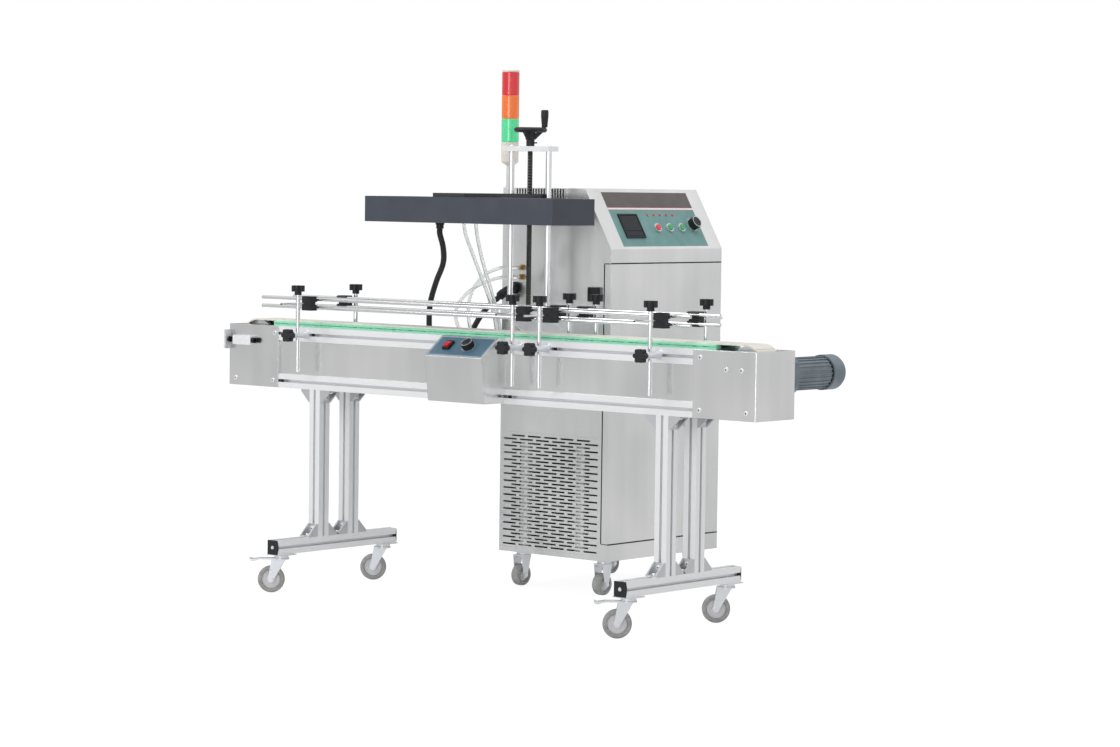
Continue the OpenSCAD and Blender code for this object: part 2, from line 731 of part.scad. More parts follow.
// Double rod clamp in the YZ plane: a waisted block with a jaw round each rod
module rod_clamp_2d() {
    difference() {
        union() {
            translate([clamp_y - clamp_t / 2, -guide_pitch / 2]) square([clamp_t, guide_pitch]);
            for (v = [-1, 1]) {
                translate([guide_y, v * guide_pitch / 2]) circle(d = guide_d + 6);
                translate([guide_y, v * guide_pitch / 2 - (guide_d + 6) / 2])
                    square([clamp_y + clamp_t / 2 - guide_y, guide_d + 6]);
            }
        }
        for (v = [-1, 1]) {
            translate([guide_y, v * guide_pitch / 2]) circle(d = guide_d);
            translate([guide_y - guide_d, v * guide_pitch / 2 - 3]) square([guide_d, 6]);
        }
    }
}

// One guide: two round rods, their clamps and the cross rods through the posts
module guide(i, s, ends) {
    color(alu) on_conveyor() scale([1, s, 1]) translate([0, 0, guide_z]) {
        for (v = [-1, 1]) rod_x(guide_d, ends[0], ends[1], guide_y, v * guide_pitch / 2);
        for (x = [post_xs[i], post_xs[i + 1]]) {
            translate([x - 18, 0, 0]) rotate([90, 0, 90]) linear_extrude(36) rod_clamp_2d();
            rod_y(cross_d, x, clamp_y + clamp_t / 2, post_y + cross_out, 0);
        }
    }
}
module guide_front_left() { guide(0, -1, rod_left); }
module guide_front_right() { guide(2, -1, rod_right); }
module guide_rear_left() { guide(0, 1, rod_left); }
module guide_rear_right() { guide(2, 1, rod_right); }

// End wall of the cabinet in the XZ plane, notched for the door
module cab_wall_2d() {
    polygon([[-cab_w / 2, cab_z], [cab_w / 2, cab_z], [cab_w / 2, door_z0], [jamb_x, door_z0],
        [jamb_x, door_z1], [cab_w / 2, door_z1], [cab_w / 2, slope_z],
        [cab_w / 2 - slope_run, cab_top], [-cab_w / 2, cab_top]]);
}
module upright_sheet(y) { translate([0, y + wall, 0]) rotate([90, 0, 0]) linear_extrude(wall) children(); }

// Folded cabinet: walls, floor, console hood, plinth, fascia, door jamb and an inner shelf
module cabinet_shell() {
    h = cab_w / 2;
    color(steel) {
        on_cabinet() {
            upright_sheet(0) difference() {
                cab_wall_2d();
                translate([grille_x0, grille_z]) square([grille_w, grille_h]);
                translate([vent_x0, vent_z]) square([vent_w, vent_h]);
            }
            upright_sheet(cab_d - wall) cab_wall_2d();
            slab([-h, 0, cab_z], [wall - h, cab_d, cab_top]);
            slab([-h, 0, cab_z], [h, cab_d, cab_z + wall]);
            slab([-h, 0, cab_top - wall], [h - slope_run, cab_d, cab_top]);
            slab([h - wall, 0, cab_z], [h, cab_d, door_z0]);
            slab([h - wall, 0, door_z1], [h, cab_d, slope_z]);
            difference() {
                union() {
                    slab([jamb_x - wall, 0, door_z0 - wall], [h, cab_d, door_z0]);
                    slab([jamb_x - wall, 0, door_z1], [h, cab_d, door_z1 + wall]);
                    translate([hinge_x, hinge_y, door_z0 - 12]) cylinder(d = hinge_d + 8, h = 12);
                    translate([hinge_x, hinge_y, door_z1]) cylinder(d = hinge_d + 8, h = 12);
                }
                translate([hinge_x, hinge_y, door_z0 - 13]) cylinder(d = hinge_d + 2 * fit, h = 14);
                translate([hinge_x, hinge_y, door_z1 - 1]) cylinder(d = hinge_d + 2 * fit, h = 14);
            }
            difference() {
                slab([jamb_x - wall, 0, door_z0 - wall], [jamb_x, cab_d, door_z1 + wall]);
                slab([jamb_x - wall - 1, 22, door_z0 + 22], [jamb_x + 1, cab_d - 22, door_z1 - 22]);
            }
            slab([wall - h, 120, shelf_z], [jamb_x - wall - 4, cab_d - wall, shelf_z + wall]);
        }
        difference() {
            on_slope(0, 0) slab([-wall, 0, 0], [0, cab_d, slope_l]);
            for (y = button_ys) on_slope(y, button_v) rotate([0, 90, 0])
                cylinder(d = button_d + 2 * gap, h = 20, center = true);
            on_slope(dial_y, dial_v) rotate([0, 90, 0]) cylinder(d = 6 + 2 * fit, h = 20, center = true);
        }
    }
}

// Punched sheets that fill the windows of the front wall: staggered slots below, upright ones above
module grille_panel() {
    n = floor((grille_w - slot_l - 4) / slot_px) + 1;
    x0 = (grille_w - (n - 1) * slot_px - slot_l) / 2;
    color(steel) on_cabinet() upright_sheet(0) {
        translate([grille_x0, grille_z]) difference() {
            square([grille_w, grille_h]);
            for (j = [0 : slot_rows - 1], i = [0 : n - 1 - j % 2])
                translate([x0 + (i + (j % 2) / 2) * slot_px, 8 + j * slot_py])
                    square([slot_l, slot_h]);
        }
        translate([vent_x0, vent_z]) difference() {
            square([vent_w, vent_h]);
            for (x = [10 : 10 : vent_w - 12]) translate([x, 8]) square([5, vent_h - 16]);
        }
    }
}

// Folded door: skin and four flanges, turning on two pins at its rear edge
module door() {
    h = cab_w / 2;
    t = 2;
    z0 = door_z0 + door_gap;
    z1 = door_z1 - door_gap;
    color(steel) on_cabinet() {
        slab([h - t, 0, z0], [h, cab_d, z1]);
        slab([h - door_d, 0, z0], [h, t, z1]);
        slab([h - door_d + 6, cab_d - t, z0], [h, cab_d, z1]);
        slab([h - door_d, 0, z0], [h, cab_d - t, z0 + t]);
        slab([h - door_d, 0, z1 - t], [h, cab_d - t, z1]);
        for (z = [z0 - 13, z1 - t]) translate([hinge_x, hinge_y, z]) cylinder(d = hinge_d, h = 13 + t);
    }
}

// Base and top plates with the two columns, and the bracket on the cabinet's front
module lift_frame() {
    pin = screw_d - 4;
    color(alu) on_cabinet() translate([lift_x, col_y, 0]) {
        difference() {
            slab([-plate_l / 2, -plate_d / 2, base_z - plate_t], [plate_l / 2, col_out, base_z]);
            translate([0, 0, base_z - plate_t - 1]) cylinder(d = pin + 2 * fit, h = plate_t + 2);
        }
        slab([-plate_l / 2, col_out - 8, base_z - 84], [plate_l / 2, col_out, base_z]);
        for (s = [-1, 1]) translate([s * (plate_l / 2 - 5) + 4, 0, 0]) rotate([90, 0, -90]) linear_extrude(8)
            polygon([[-col_out, base_z - 84], [-col_out, base_z - 4], [plate_d / 2 - 4, base_z - 4],
                [plate_d / 2 - 4, base_z - plate_t - 4]]);
        for (s = [-1, 1]) translate([s * col_pitch / 2, 0, base_z]) {
            cylinder(d = col_d, h = col_l);
            cylinder(d = col_d + 9, h = 6);
        }
        difference() {
            slab([-plate_l / 2, -plate_d / 2, top_z], [plate_l / 2, plate_d / 2, top_z + plate_t]);
            translate([0, 0, top_z - 1]) cylinder(d = pin + 2 * fit, h = plate_t + 2);
        }
    }
}

// Lead screw with the dished handwheel and the pin of its grip
module lead_screw() {
    pin = screw_d - 4;
    rim = 7;
    color(black) on_cabinet() translate([lift_x, col_y, 0]) {
        translate([0, 0, base_z + gap]) cylinder(d = screw_d, h = col_l - 2 * gap);
        translate([0, 0, base_z - plate_t]) cylinder(d = pin, h = col_l + 2 * plate_t + 10);
        translate([0, 0, hand_z]) rotate(caster_turn) {
            cylinder(d = 23, h = 18);
            translate([0, 0, 18]) cylinder(d = 28, h = 20);
            translate([0, 0, hand_h - rim]) rotate_extrude() translate([hand_r, 0]) circle(rim, $fn = 24);
            for (a = [0, 120, 240]) rotate([90, 0, a]) translate([0, 0, -5]) linear_extrude(10)
                polygon([[9, 20], [14, 18], [hand_r - 2, hand_h - rim - 4], [hand_r - 2, hand_h - rim + 4],
                    [14, 36], [9, 37]]);
            translate([hand_r, 0, hand_h - rim]) cylinder(d = 8, h = rim + 44);
            rotate(-40) rod_x(4, 8, 24, 0, 9);
        }
    }
}

// Revolving grip on the handwheel's pin
module hand_grip() {
    z = hand_z + hand_h + gap;
    color(black) on_cabinet() translate([lift_x, col_y, z]) rotate(caster_turn) translate([hand_r, 0, 0])
        rotate_extrude() polygon([[4 + fit, 0], [8, 0], [8.5, 8], [10.5, 30], [10.5, 44], [9, 48], [4 + fit, 48]]);
}

// Arm plate over the head and the carriage that runs on the columns
module lift_arm() {
    color("#34383f") {
        on_cabinet() translate([lift_x, col_y, 0]) difference() {
            slab([-car_w / 2, -car_d / 2, head_top - car_h], [car_w / 2, car_d / 2, head_top]);
            for (s = [-1, 1]) translate([s * col_pitch / 2, 0, head_top - car_h - 1])
                cylinder(d = col_d + 2 * fit, h = car_h + 2);
            translate([0, 0, head_top - car_h - 1]) cylinder(d = screw_d + 2 * fit, h = car_h + 2);
        }
        difference() {
            on_conveyor() slab([lift_cx - arm_w / 2, arm_y0, head_top],
                [lift_cx + arm_w / 2, lift_cy + car_d / 2, head_top + arm_t]);
            on_cabinet() translate([lift_x, col_y, head_top - 1]) cylinder(d = screw_d + 4, h = arm_t + 2);
        }
    }
}

// Sealing head: a folded cover, open below, with two hose tails at its back
module head_housing() {
    x0 = head_off - head_l / 2;
    y = head_w / 2;
    color(slate) on_conveyor() {
        difference() {
            slab([x0, -y, head_z], [x0 + head_l, y, head_top]);
            slab([x0 + head_t, head_t - y, head_z - 1], [x0 + head_l - head_t, y - head_t, head_top - head_t]);
        }
        for (p = [hose_a_pts[0], hose_b_pts[0]]) {
            translate([p[0], y, p[2]]) rotate([-90, 0, 0]) cylinder(d = 18, h = 8, $fn = 6);
            rod_y(hose_d, p[0], y, p[1], p[2]);
        }
    }
}

// Coil carrier that closes the head from below: a shallow channel along its middle, the cable's gland beside it
module head_base() {
    x0 = head_off - head_l / 2 + head_t;
    y = head_w / 2 - head_t;
    p = cable_pts[0];
    color("#3a3d42") on_conveyor() {
        translate([x0, 0, head_z]) rotate([90, 0, 90]) linear_extrude(head_l - 2 * head_t)
            polygon([[-y, 0], [-30, 0], [-22, 8], [22, 8], [30, 0], [y, 0], [y, 16], [-y, 16]]);
        translate([p[0], p[1], head_z - 7]) cylinder(d = cable_d + 10, h = 7, $fn = 6);
        translate([p[0], p[1], p[2]]) cylinder(d = cable_d + 5, h = head_z - p[2]);
    }
}

// Signal tower on the cabinet's top: foot, pole, base, three lenses and a cap
module tower_light() {
    z0 = pole_l;
    z1 = z0 + 58;
    r = lens_d / 2;
    color("#e9e2d8") on_cabinet() translate([12 - cab_w / 2, 12, cab_top]) {
        cylinder(d = 22, h = 5);
        cylinder(d = pole_d, h = z0);
        translate([0, 0, z0]) rotate_extrude()
            polygon([[0, -8], [pole_d / 2 + 2, -8], [r - 3, 0], [r, 3], [r, 56], [r - 1.5, 58], [0, 58]]);
        for (i = [0 : 2]) translate([0, 0, z1 + i * lens_h]) rotate_extrude()
            polygon([[0, 0], [r - 1, 0], [r, 2], [r, lens_h - 2], [r - 1, lens_h], [0, lens_h]]);
        translate([0, 0, z1 + 3 * lens_h]) rotate_extrude()
            polygon([[0, 0], [r - 1, 0], [r, 1], [r, 5], [r - 5, 8], [0, 8]]);
    }
}

// Power unit on the shelf: a case with a finned cooler on its back
module power_unit() {
    color("#8b9096") on_cabinet() translate([0, 0, shelf_z + wall]) {
        difference() {
            slab([-170, 150, 0], [130, 430, 170]);
            slab([-164, 156, 6], [124, 424, 164]);
        }
        for (x = [-160 : 20 : 120]) slab([x, 430, 10], [x + 4, 460, 160]);
    }
}

// Coolant tank on the floor with filler cap and pump
module coolant_tank() {
    color("#d9dcdd") on_cabinet() translate([0, 0, cab_z + wall]) {
        difference() {
            slab([-170, 290, 0], [50, 470, 190]);
            slab([-160, 300, 12], [40, 460, 182]);
        }
        translate([-60, 380, 190]) cylinder(d = 60, h = 18);
        translate([90, 380, 0]) {
            slab([-30, -40, 0], [30, 40, 8]);
            translate([0, 0, 8]) cylinder(d = 56, h = 70);
            translate([-40, 0, 40]) rotate([0, 90, 0]) cylinder(d = 16, h = 20);
        }
    }
}

// Radiator behind the grille: finned core between two headers, upright brackets, fan ring and motor
fan_r = 100;
fan_y = 96;
rad_z = cab_z + wall;
rad_h = 280;
rad_x = 150;
module radiator() {
    cz = rad_z + 24 + rad_h / 2;
    color("#c9ccd0") on_cabinet() {
        for (x = [-116, 86]) slab([x - 15, 12, rad_z], [x + 15, 24, rad_z + rad_h + 30]);
        for (s = [-1, 1])
            slab([s * (rad_x - 8) - 8, 24, rad_z], [s * (rad_x - 8) + 8, 64, rad_z + rad_h + 30]);
        for (z = [rad_z + 24 : 14 : rad_z + 24 + rad_h - 8])
            slab([16 - rad_x, 24, z], [rad_x - 16, 64, z + 4]);
        difference() {
            slab([-fan_r - 15, 64, cz - fan_r - 15], [fan_r + 15, 68, cz + fan_r + 15]);
            rod_y(2 * fan_r, 0, 60, 70, cz);
        }
        difference() {
            rod_y(2 * fan_r + 8, 0, 68, 118, cz);
            rod_y(2 * fan_r, 0, 60, 130, cz);
        }
        for (a = [0 : 90 : 270]) translate([0, 118, cz]) rotate([0, a, 0]) slab([26, -4, -5], [fan_r + 2, 0, 5]);
        difference() {
            rod_y(60, 0, 112, 150, cz);
            rod_y(8 + 2 * fit, 0, 100, 130, cz);
        }
    }
}

// Fan rotor: hub, shaft and pitched blades
module fan_rotor() {
    cz = rad_z + 24 + rad_h / 2;
    color(black) on_cabinet() translate([0, fan_y, cz]) {
        rod_y(46, 0, -10, 14, 0);
        rod_y(8, 0, 14, 30, 0);
        for (a = [0 : 60 : 300]) rotate([0, a, 0]) translate([20, 0, 0]) rotate([32, 0, 0])
            slab([0, -1.5, -17], [fan_r - 26, 1.5, 17]);
    }
}

// Elbow that turns the cable into the cabinet's wall, ending at the cable's last point
module cable_elbow() {
    p = cable_pts[len(cable_pts) - 1];
    translate(p) rotate([0, -elbow_a, 0]) {
        rod_x(cable_d + 10, 0, 14, 0, 0);
        translate([14, elbow_r, 0]) rotate(-90) rotate_extrude(angle = 90) translate([elbow_r, 0])
            circle(d = cable_d + 7);
        rod_y(cable_d + 7, 14 + elbow_r, elbow_r, cab_front - p[1], 0);
        rod_y(cable_d + 18, 14 + elbow_r, cab_front - p[1] - 7, cab_front - p[1], 0);
    }
}

// Fittings: button bezels, dial seat, display and lamps on the console, unions on the front wall
module cabinet_fittings() {
    color(black) {
        for (y = button_ys) on_slope(y, button_v) rotate([0, 90, 0]) difference() {
            cylinder(d = button_d + 7, h = 5);
            translate([0, 0, -1]) cylinder(d = button_d + 2 * gap, h = 7);
        }
        on_slope(dial_y, dial_v) rotate([0, 90, 0]) difference() {
            cylinder(d = dial_d + 3, h = 2);
            translate([0, 0, -1]) cylinder(d = 6 + 2 * gap, h = 4);
        }
        on_slope(display_y, display_v) difference() {
            slab([0, -display_w / 2, -display_h / 2], [4, display_w / 2, display_h / 2]);
            slab([2, 4 - display_w / 2, 4 - display_h / 2], [5, display_w / 2 - 4, display_h / 2 - 4]);
        }
        for (y = led_ys) on_slope(y, 109) rotate([0, 90, 0]) cylinder(d = 7, h = 2.5);
        on_conveyor() {
            cable_elbow();
            for (q = [hose_a_pts, hose_b_pts]) {
                e = q[len(q) - 1];
                rod_y(hose_d, e[0], e[1], cab_front, e[2]);
                translate([e[0], cab_front, e[2]]) rotate([90, 0, 0]) cylinder(d = 18, h = 7, $fn = 6);
            }
        }
        on_cabinet() difference() {
            slab([126, -12, 822], [162, 0, 862]);
            slab([132, -13, 829], [156, -9, 855]);
        }
    }
}

// Push button, flush in its bezel until pressed
module button(y, c) {
    color(c) on_slope(y, button_v) rotate([0, 90, 0]) translate([0, 0, 0.5]) rotate_extrude()
        polygon([[0, 0], [button_d / 2, 0], [button_d / 2, 6], [button_d / 2 - 1, 7.5], [0, 7.5]]);
}
module red_button() { button(button_ys[0], "#d8262c"); }
module green_button_1() { button(button_ys[1], "#35a04a"); }
module green_button_2() { button(button_ys[2], "#35a04a"); }

// Knob with a fluted skirt, a pointer ridge and a shaft through the panel
module dial(d, h) {
    linear_extrude(h) difference() {
        circle(d = d);
        for (a = [0 : 20 : 340]) rotate(a) translate([d / 2 + 0.6, 0]) circle(1.4, $fn = 16);
    }
    translate([-1.2, 0, h]) cube([2.4, d / 2 - 3, 1.2]);
    translate([0, 0, -12]) cylinder(d = 6, h = 12.5);
}
module power_dial() {
    color(black) on_slope(dial_y, dial_v) rotate([0, 90, 0]) translate([0, 0, 2 + gap]) dial(dial_d, 19);
}
module speed_dial() { color(black) on_speed(speed_dial_x) translate([0, 0, gap]) dial(speed_dial_d, 17); }

// Rocker on its cross pin
module rocker() {
    color("#d8262c") on_speed(rocker_x) {
        translate([-rocker_w / 2, 0, 0]) rotate([90, 0, 90]) linear_extrude(rocker_w)
            polygon([[-rocker_l / 2 + 1, 3], [-5, -5], [5, -5], [rocker_l / 2 - 1, 3],
                [rocker_l / 2 - 1, 8], [0, 10], [-rocker_l / 2 + 1, 11]]);
        rod_x(3, -rocker_w / 2 - 2.5, rocker_w / 2 + 2.5, 0, 3);
    }
}

// Chain wheel and its shaft: two turned discs beside the chain's hinges
module chain_wheel(x, y0, y1) {
    color(zinc) on_conveyor() {
        rod_y(shaft_d, x, y0, y1, shaft_z);
        for (s = [-1, 1]) rod_y(2 * (wheel_r - gap), x, s * 20 - 6, s * 20 + 6, shaft_z);
        rod_y(56, x, -20, 20, shaft_z);
    }
}
module drive_wheel() { chain_wheel(shaft_x, 2 + gap - conv_w / 2, box_y + 29); }
module idler_wheel() { chain_wheel(-shaft_x, -box_y - 13, box_y + 13); }

// Tube swept along a smooth line through a route
function unit(v) = v / norm(v);
function bend(a, b, c, d, t) = 0.5 * (2 * b + (c - a) * t + (2 * a - 5 * b + 4 * c - d) * t * t
    + (3 * b - a - 3 * c + d) * t * t * t);
function smooth(p, n) = [for (i = [0 : len(p) - 2]) for (k = [0 : n - 1])
    bend(p[max(i - 1, 0)], p[i], p[i + 1], p[min(i + 2, len(p) - 1)], k / n), p[len(p) - 1]];
function along(q, i, p) = i == 0 ? unit(p[1] - p[0])
    : i == len(q) - 1 ? unit(p[len(p) - 1] - p[len(p) - 2]) : unit(q[i + 1] - q[i - 1]);
function square_to(u, t) = unit(u - t * (u * t));
function sides(q, p, i, u) = i == len(q) ? []
    : let (s = square_to(u, along(q, i, p))) concat([s], sides(q, p, i + 1, s));
module tube(p, d, n, m) {
    q = smooth(p, n);
    t0 = along(q, 0, p);
    s = sides(q, p, 0, abs(t0[0]) < 0.9 ? [1, 0, 0] : [0, 0, 1]);
    pts = [for (i = [0 : len(q) - 1]) let (b = cross(along(q, i, p), s[i])) for (k = [0 : m - 1])
        q[i] + d / 2 * (cos(360 * k / m) * s[i] + sin(360 * k / m) * b)];
    e = len(q) - 1;
    polyhedron(pts, concat([[for (k = [0 : m - 1]) m - 1 - k + 0]], [[for (k = [0 : m - 1]) e * m + k]],
        [for (i = [0 : e - 1]) for (k = [0 : m - 1])
            [i * m + k, i * m + (k + 1) % m, (i + 1) * m + (k + 1) % m]],
        [for (i = [0 : e - 1]) for (k = [0 : m - 1])
            [i * m + k, (i + 1) * m + (k + 1) % m, (i + 1) * m + k]]));
}
module power_cable() { color("#1f2022") on_conveyor() tube(cable_pts, cable_d, 3, 12); }
module hose_a() { color("#e8ecec") on_conveyor() tube(hose_a_pts, hose_d, 3, 8); }
module hose_b() { color("#e8ecec") on_conveyor() tube(hose_b_pts, hose_d, 3, 8); }

frame_rails();
side_panels();
wear_strips();
slat_chain();
drive_box();
idler_box();
take_ups();
gear_head();
motor();
leg_profiles();
corner_brackets();
speed_box();
caster_plates();
post_clamps();
cabinet_shell();
grille_panel();
lift_frame();
tower_light();
power_unit();
coolant_tank();
radiator();
cabinet_fittings();
power_cable();
hose_a();
hose_b();
head_housing();
head_base();
lift_arm();
lead_screw();
hand_grip();
door();
red_button();
green_button_1();
green_button_2();
power_dial();
rocker();
speed_dial();
drive_wheel();
idler_wheel();
fan_rotor();
posts_front_left();
posts_front_right();
posts_rear_left();
posts_rear_right();
guide_front_left();
guide_front_right();
guide_rear_left();
guide_rear_right();
fork_front_left();
fork_front_right();
fork_rear_left();
fork_rear_right();
wheel_front_left();
wheel_front_right();
wheel_rear_left();
wheel_rear_right();
cab_caster_front_left();
cab_caster_front_right();
cab_caster_rear_left();
cab_caster_rear_right();
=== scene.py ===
import math

import bmesh
import bpy
import numpy as np
from mathutils import Matrix, Vector


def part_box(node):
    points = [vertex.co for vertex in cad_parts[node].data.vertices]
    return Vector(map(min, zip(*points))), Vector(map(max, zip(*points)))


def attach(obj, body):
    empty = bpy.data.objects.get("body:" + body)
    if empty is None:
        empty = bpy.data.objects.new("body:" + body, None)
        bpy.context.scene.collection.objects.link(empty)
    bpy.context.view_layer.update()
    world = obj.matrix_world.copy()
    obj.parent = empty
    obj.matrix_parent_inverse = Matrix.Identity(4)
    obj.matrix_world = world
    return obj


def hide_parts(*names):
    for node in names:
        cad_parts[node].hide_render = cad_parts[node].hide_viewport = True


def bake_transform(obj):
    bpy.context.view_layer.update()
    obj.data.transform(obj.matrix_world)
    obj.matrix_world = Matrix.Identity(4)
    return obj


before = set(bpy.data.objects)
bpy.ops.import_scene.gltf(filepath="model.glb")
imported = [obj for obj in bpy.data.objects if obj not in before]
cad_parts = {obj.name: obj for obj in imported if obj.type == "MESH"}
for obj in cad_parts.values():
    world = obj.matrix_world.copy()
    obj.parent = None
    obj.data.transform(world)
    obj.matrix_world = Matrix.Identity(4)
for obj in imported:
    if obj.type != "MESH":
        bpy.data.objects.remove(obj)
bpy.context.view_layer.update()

# Studio and camera: a long lens at bench height looks at the machine from its outfeed corner.
# The floor and the walls of the room are white paper; they keep a faint shadow under the wheels.
scene = bpy.context.scene
scene.view_settings.view_transform = "Standard"
MM = 0.001
low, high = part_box("slat_chain")
LINE_Y = (low.y + high.y) / 2
FOCAL_PX, PHOTO_W, SENSOR_MM = 3137.1, 1120, 36
CAMERA_X, CAMERA_FROM_LINE, CAMERA_Z = 5.611, -6.3354, 1.1394
AZIMUTH, PITCH, ROLL = (math.radians(a) for a in (40.32, 3.41, 0.78))
ahead = Vector((-math.sin(AZIMUTH) * math.cos(PITCH), math.cos(AZIMUTH) * math.cos(PITCH),
                -math.sin(PITCH)))
level = ahead.cross(Vector((0, 0, 1))).normalized()
above = level.cross(ahead)
right = level * math.cos(ROLL) + above * math.sin(ROLL)
upward = above * math.cos(ROLL) - level * math.sin(ROLL)
camera = bpy.data.objects.new("camera", bpy.data.cameras.new("camera"))
camera.data.sensor_width = SENSOR_MM
camera.data.lens = SENSOR_MM * FOCAL_PX / PHOTO_W
camera.data.clip_end = 100
camera.matrix_world = Matrix((
    (right.x, upward.x, -ahead.x, CAMERA_X),
    (right.y, upward.y, -ahead.y, LINE_Y + CAMERA_FROM_LINE),
    (right.z, upward.z, -ahead.z, CAMERA_Z),
    (0, 0, 0, 1)))
scene.collection.objects.link(camera)
scene.camera = camera


def node(tree, kind, inputs=None, **settings):
    """Adds a node, sets its properties, and fills its inputs with values, a link or a list of links."""
    made = tree.nodes.new(kind)
    for key, value in settings.items():
        setattr(made, key, value)
    for key, value in (inputs or {}).items():
        sources = value if isinstance(value, list) else [value]
        if isinstance(sources[0], bpy.types.NodeSocket):
            for source in sources:
                tree.links.new(source, made.inputs[key])
        else:
            made.inputs[key].default_value = value
    return made


WHITE = (1, 1, 1, 1)
world = bpy.data.worlds.new("white_room")
world.use_nodes = True
scene.world = world
room = world.node_tree
room.nodes.clear()
# Walls: pale all round, with a grey flag down each side so that bright metal shows its roundness
LEFT_WALL, RIGHT_WALL, NEAR_WALL, FAR_WALL, CEILING, DAYLIGHT = 0.64, 0.85, 1.05, 0.36, 1.0, 0.62
outward = node(room, "ShaderNodeTexCoord").outputs["Generated"]
flat = node(room, "ShaderNodeVectorMath", {0: outward, 1: (1, 1, 0)}, operation="MULTIPLY")
even = node(room, "ShaderNodeVectorMath", {0: flat.outputs[0]}, operation="NORMALIZE")
toward = node(room, "ShaderNodeVectorMath", {0: even.outputs[0], 1: (-ahead.x, -ahead.y, 0)},
              operation="DOT_PRODUCT").outputs["Value"]
across = node(room, "ShaderNodeVectorMath", {0: even.outputs[0], 1: tuple(level)},
              operation="DOT_PRODUCT").outputs["Value"]
sides = node(room, "ShaderNodeMapRange", {"Value": across, "From Min": -0.5, "From Max": 0.5,
             "To Min": LEFT_WALL, "To Max": RIGHT_WALL}, interpolation_type="SMOOTHSTEP")
to_near = node(room, "ShaderNodeMapRange", {"Value": toward, "From Min": 0.5, "From Max": 0.8},
               interpolation_type="SMOOTHSTEP")
to_far = node(room, "ShaderNodeMapRange", {"Value": toward, "From Min": -0.6, "From Max": -0.9},
              interpolation_type="SMOOTHSTEP")
half_round = node(room, "ShaderNodeMix", {0: to_near.outputs[0], 2: sides.outputs[0], 3: NEAR_WALL})
walls = node(room, "ShaderNodeMix", {0: to_far.outputs[0], 2: half_round.outputs[0], 3: FAR_WALL})
height = node(room, "ShaderNodeSeparateXYZ", {0: outward})
overhead = node(room, "ShaderNodeMapRange", {"Value": height.outputs[2], "From Min": 0.3, "From Max": 0.75},
                interpolation_type="SMOOTHSTEP")
mirrored = node(room, "ShaderNodeMix", {0: overhead.outputs[0], 2: walls.outputs[0], 3: CEILING})
lit = node(room, "ShaderNodeBackground", {"Color": WHITE, "Strength": DAYLIGHT})
on_metal = node(room, "ShaderNodeBackground", {"Color": WHITE, "Strength": mirrored.outputs[0]})
behind = node(room, "ShaderNodeBackground", {"Color": WHITE, "Strength": 1.0})
ray = node(room, "ShaderNodeLightPath").outputs
direct = node(room, "ShaderNodeMath", {0: ray["Is Camera Ray"], 1: ray["Is Transmission Ray"]},
              operation="MAXIMUM")
shine = node(room, "ShaderNodeMixShader",
             {0: ray["Is Glossy Ray"], 1: lit.outputs[0], 2: on_metal.outputs[0]})
shown = node(room, "ShaderNodeMixShader",
             {0: direct.outputs[0], 1: shine.outputs[0], 2: behind.outputs[0]})
node(room, "ShaderNodeOutputWorld", {"Surface": shown.outputs[0]})

# White paper: matt and even, so the floor reads as a clean ground with a breath of shade on it
paper = bpy.data.materials.new("white_paper")
paper.use_nodes = True
sheet = paper.node_tree
sheet.nodes.clear()
SEEN_SHARE, SEEN_WHITE, MIRRORED_FLOOR, PAPER, FLOOR_HALF = 0.75, 1.17, 0.68, 0.86, 30
matt = node(sheet, "ShaderNodeBsdfDiffuse", {"Color": (PAPER, PAPER, PAPER, 1)})
white = node(sheet, "ShaderNodeEmission", {"Color": WHITE, "Strength": SEEN_WHITE})
mirror_grey = node(sheet, "ShaderNodeEmission", {"Color": WHITE, "Strength": MIRRORED_FLOOR})
ray = node(sheet, "ShaderNodeLightPath").outputs
direct = node(sheet, "ShaderNodeMath", {0: ray["Is Camera Ray"], 1: ray["Is Transmission Ray"]},
              operation="MAXIMUM")
share = node(sheet, "ShaderNodeMath", {0: direct.outputs[0], 1: SEEN_SHARE}, operation="MULTIPLY")
shine = node(sheet, "ShaderNodeMixShader",
             {0: ray["Is Glossy Ray"], 1: matt.outputs[0], 2: mirror_grey.outputs[0]})
paper_mix = node(sheet, "ShaderNodeMixShader",
                 {0: share.outputs[0], 1: shine.outputs[0], 2: white.outputs[0]})
node(sheet, "ShaderNodeOutputMaterial", {"Surface": paper_mix.outputs[0]})
floor_mesh = bpy.data.meshes.new("floor")
floor_mesh.from_pydata([(x * FLOOR_HALF, y * FLOOR_HALF, 0) for x, y in ((-1, -1), (1, -1), (1, 1), (-1, 1))],
                       [], [(0, 1, 2, 3)])
floor = bpy.data.objects.new("floor", floor_mesh)
floor_mesh.materials.append(paper)
scene.collection.objects.link(floor)

# Softboxes: one high at the left, one beside the camera and one over the machine
for name, place, aim, size, watts in (
        ("key_softbox", (-2.6, -4.2, 3.4), (0, -0.2, 0.7), 2.4, 80),
        ("near_softbox", (2.6, -8.6, 1.0), (0, 0, 0.8), 2.6, 90),
        ("top_softbox", (0.2, 0.4, 4.2), (0, 0, 0.6), 2.8, 60)):
    lamp = bpy.data.lights.new(name, "AREA")
    lamp.shape, lamp.size, lamp.energy = "SQUARE", size, watts
    box = bpy.data.objects.new(name, lamp)
    box.location = place
    box.rotation_euler = (Vector(aim) - Vector(place)).to_track_quat("-Z", "Y").to_euler()
    box.visible_camera = False
    scene.collection.objects.link(box)

# Cords: a black rubber-sheathed power cable and two clear coolant hoses hang between the sealing head
# and the unions on the cabinet; each is one smooth tube through its listed points.


def from_line(x, y, z):
    """A place in millimetres from the conveyor's middle, chain line and floor."""
    return Vector((x * MM, y * MM + LINE_Y, z * MM))


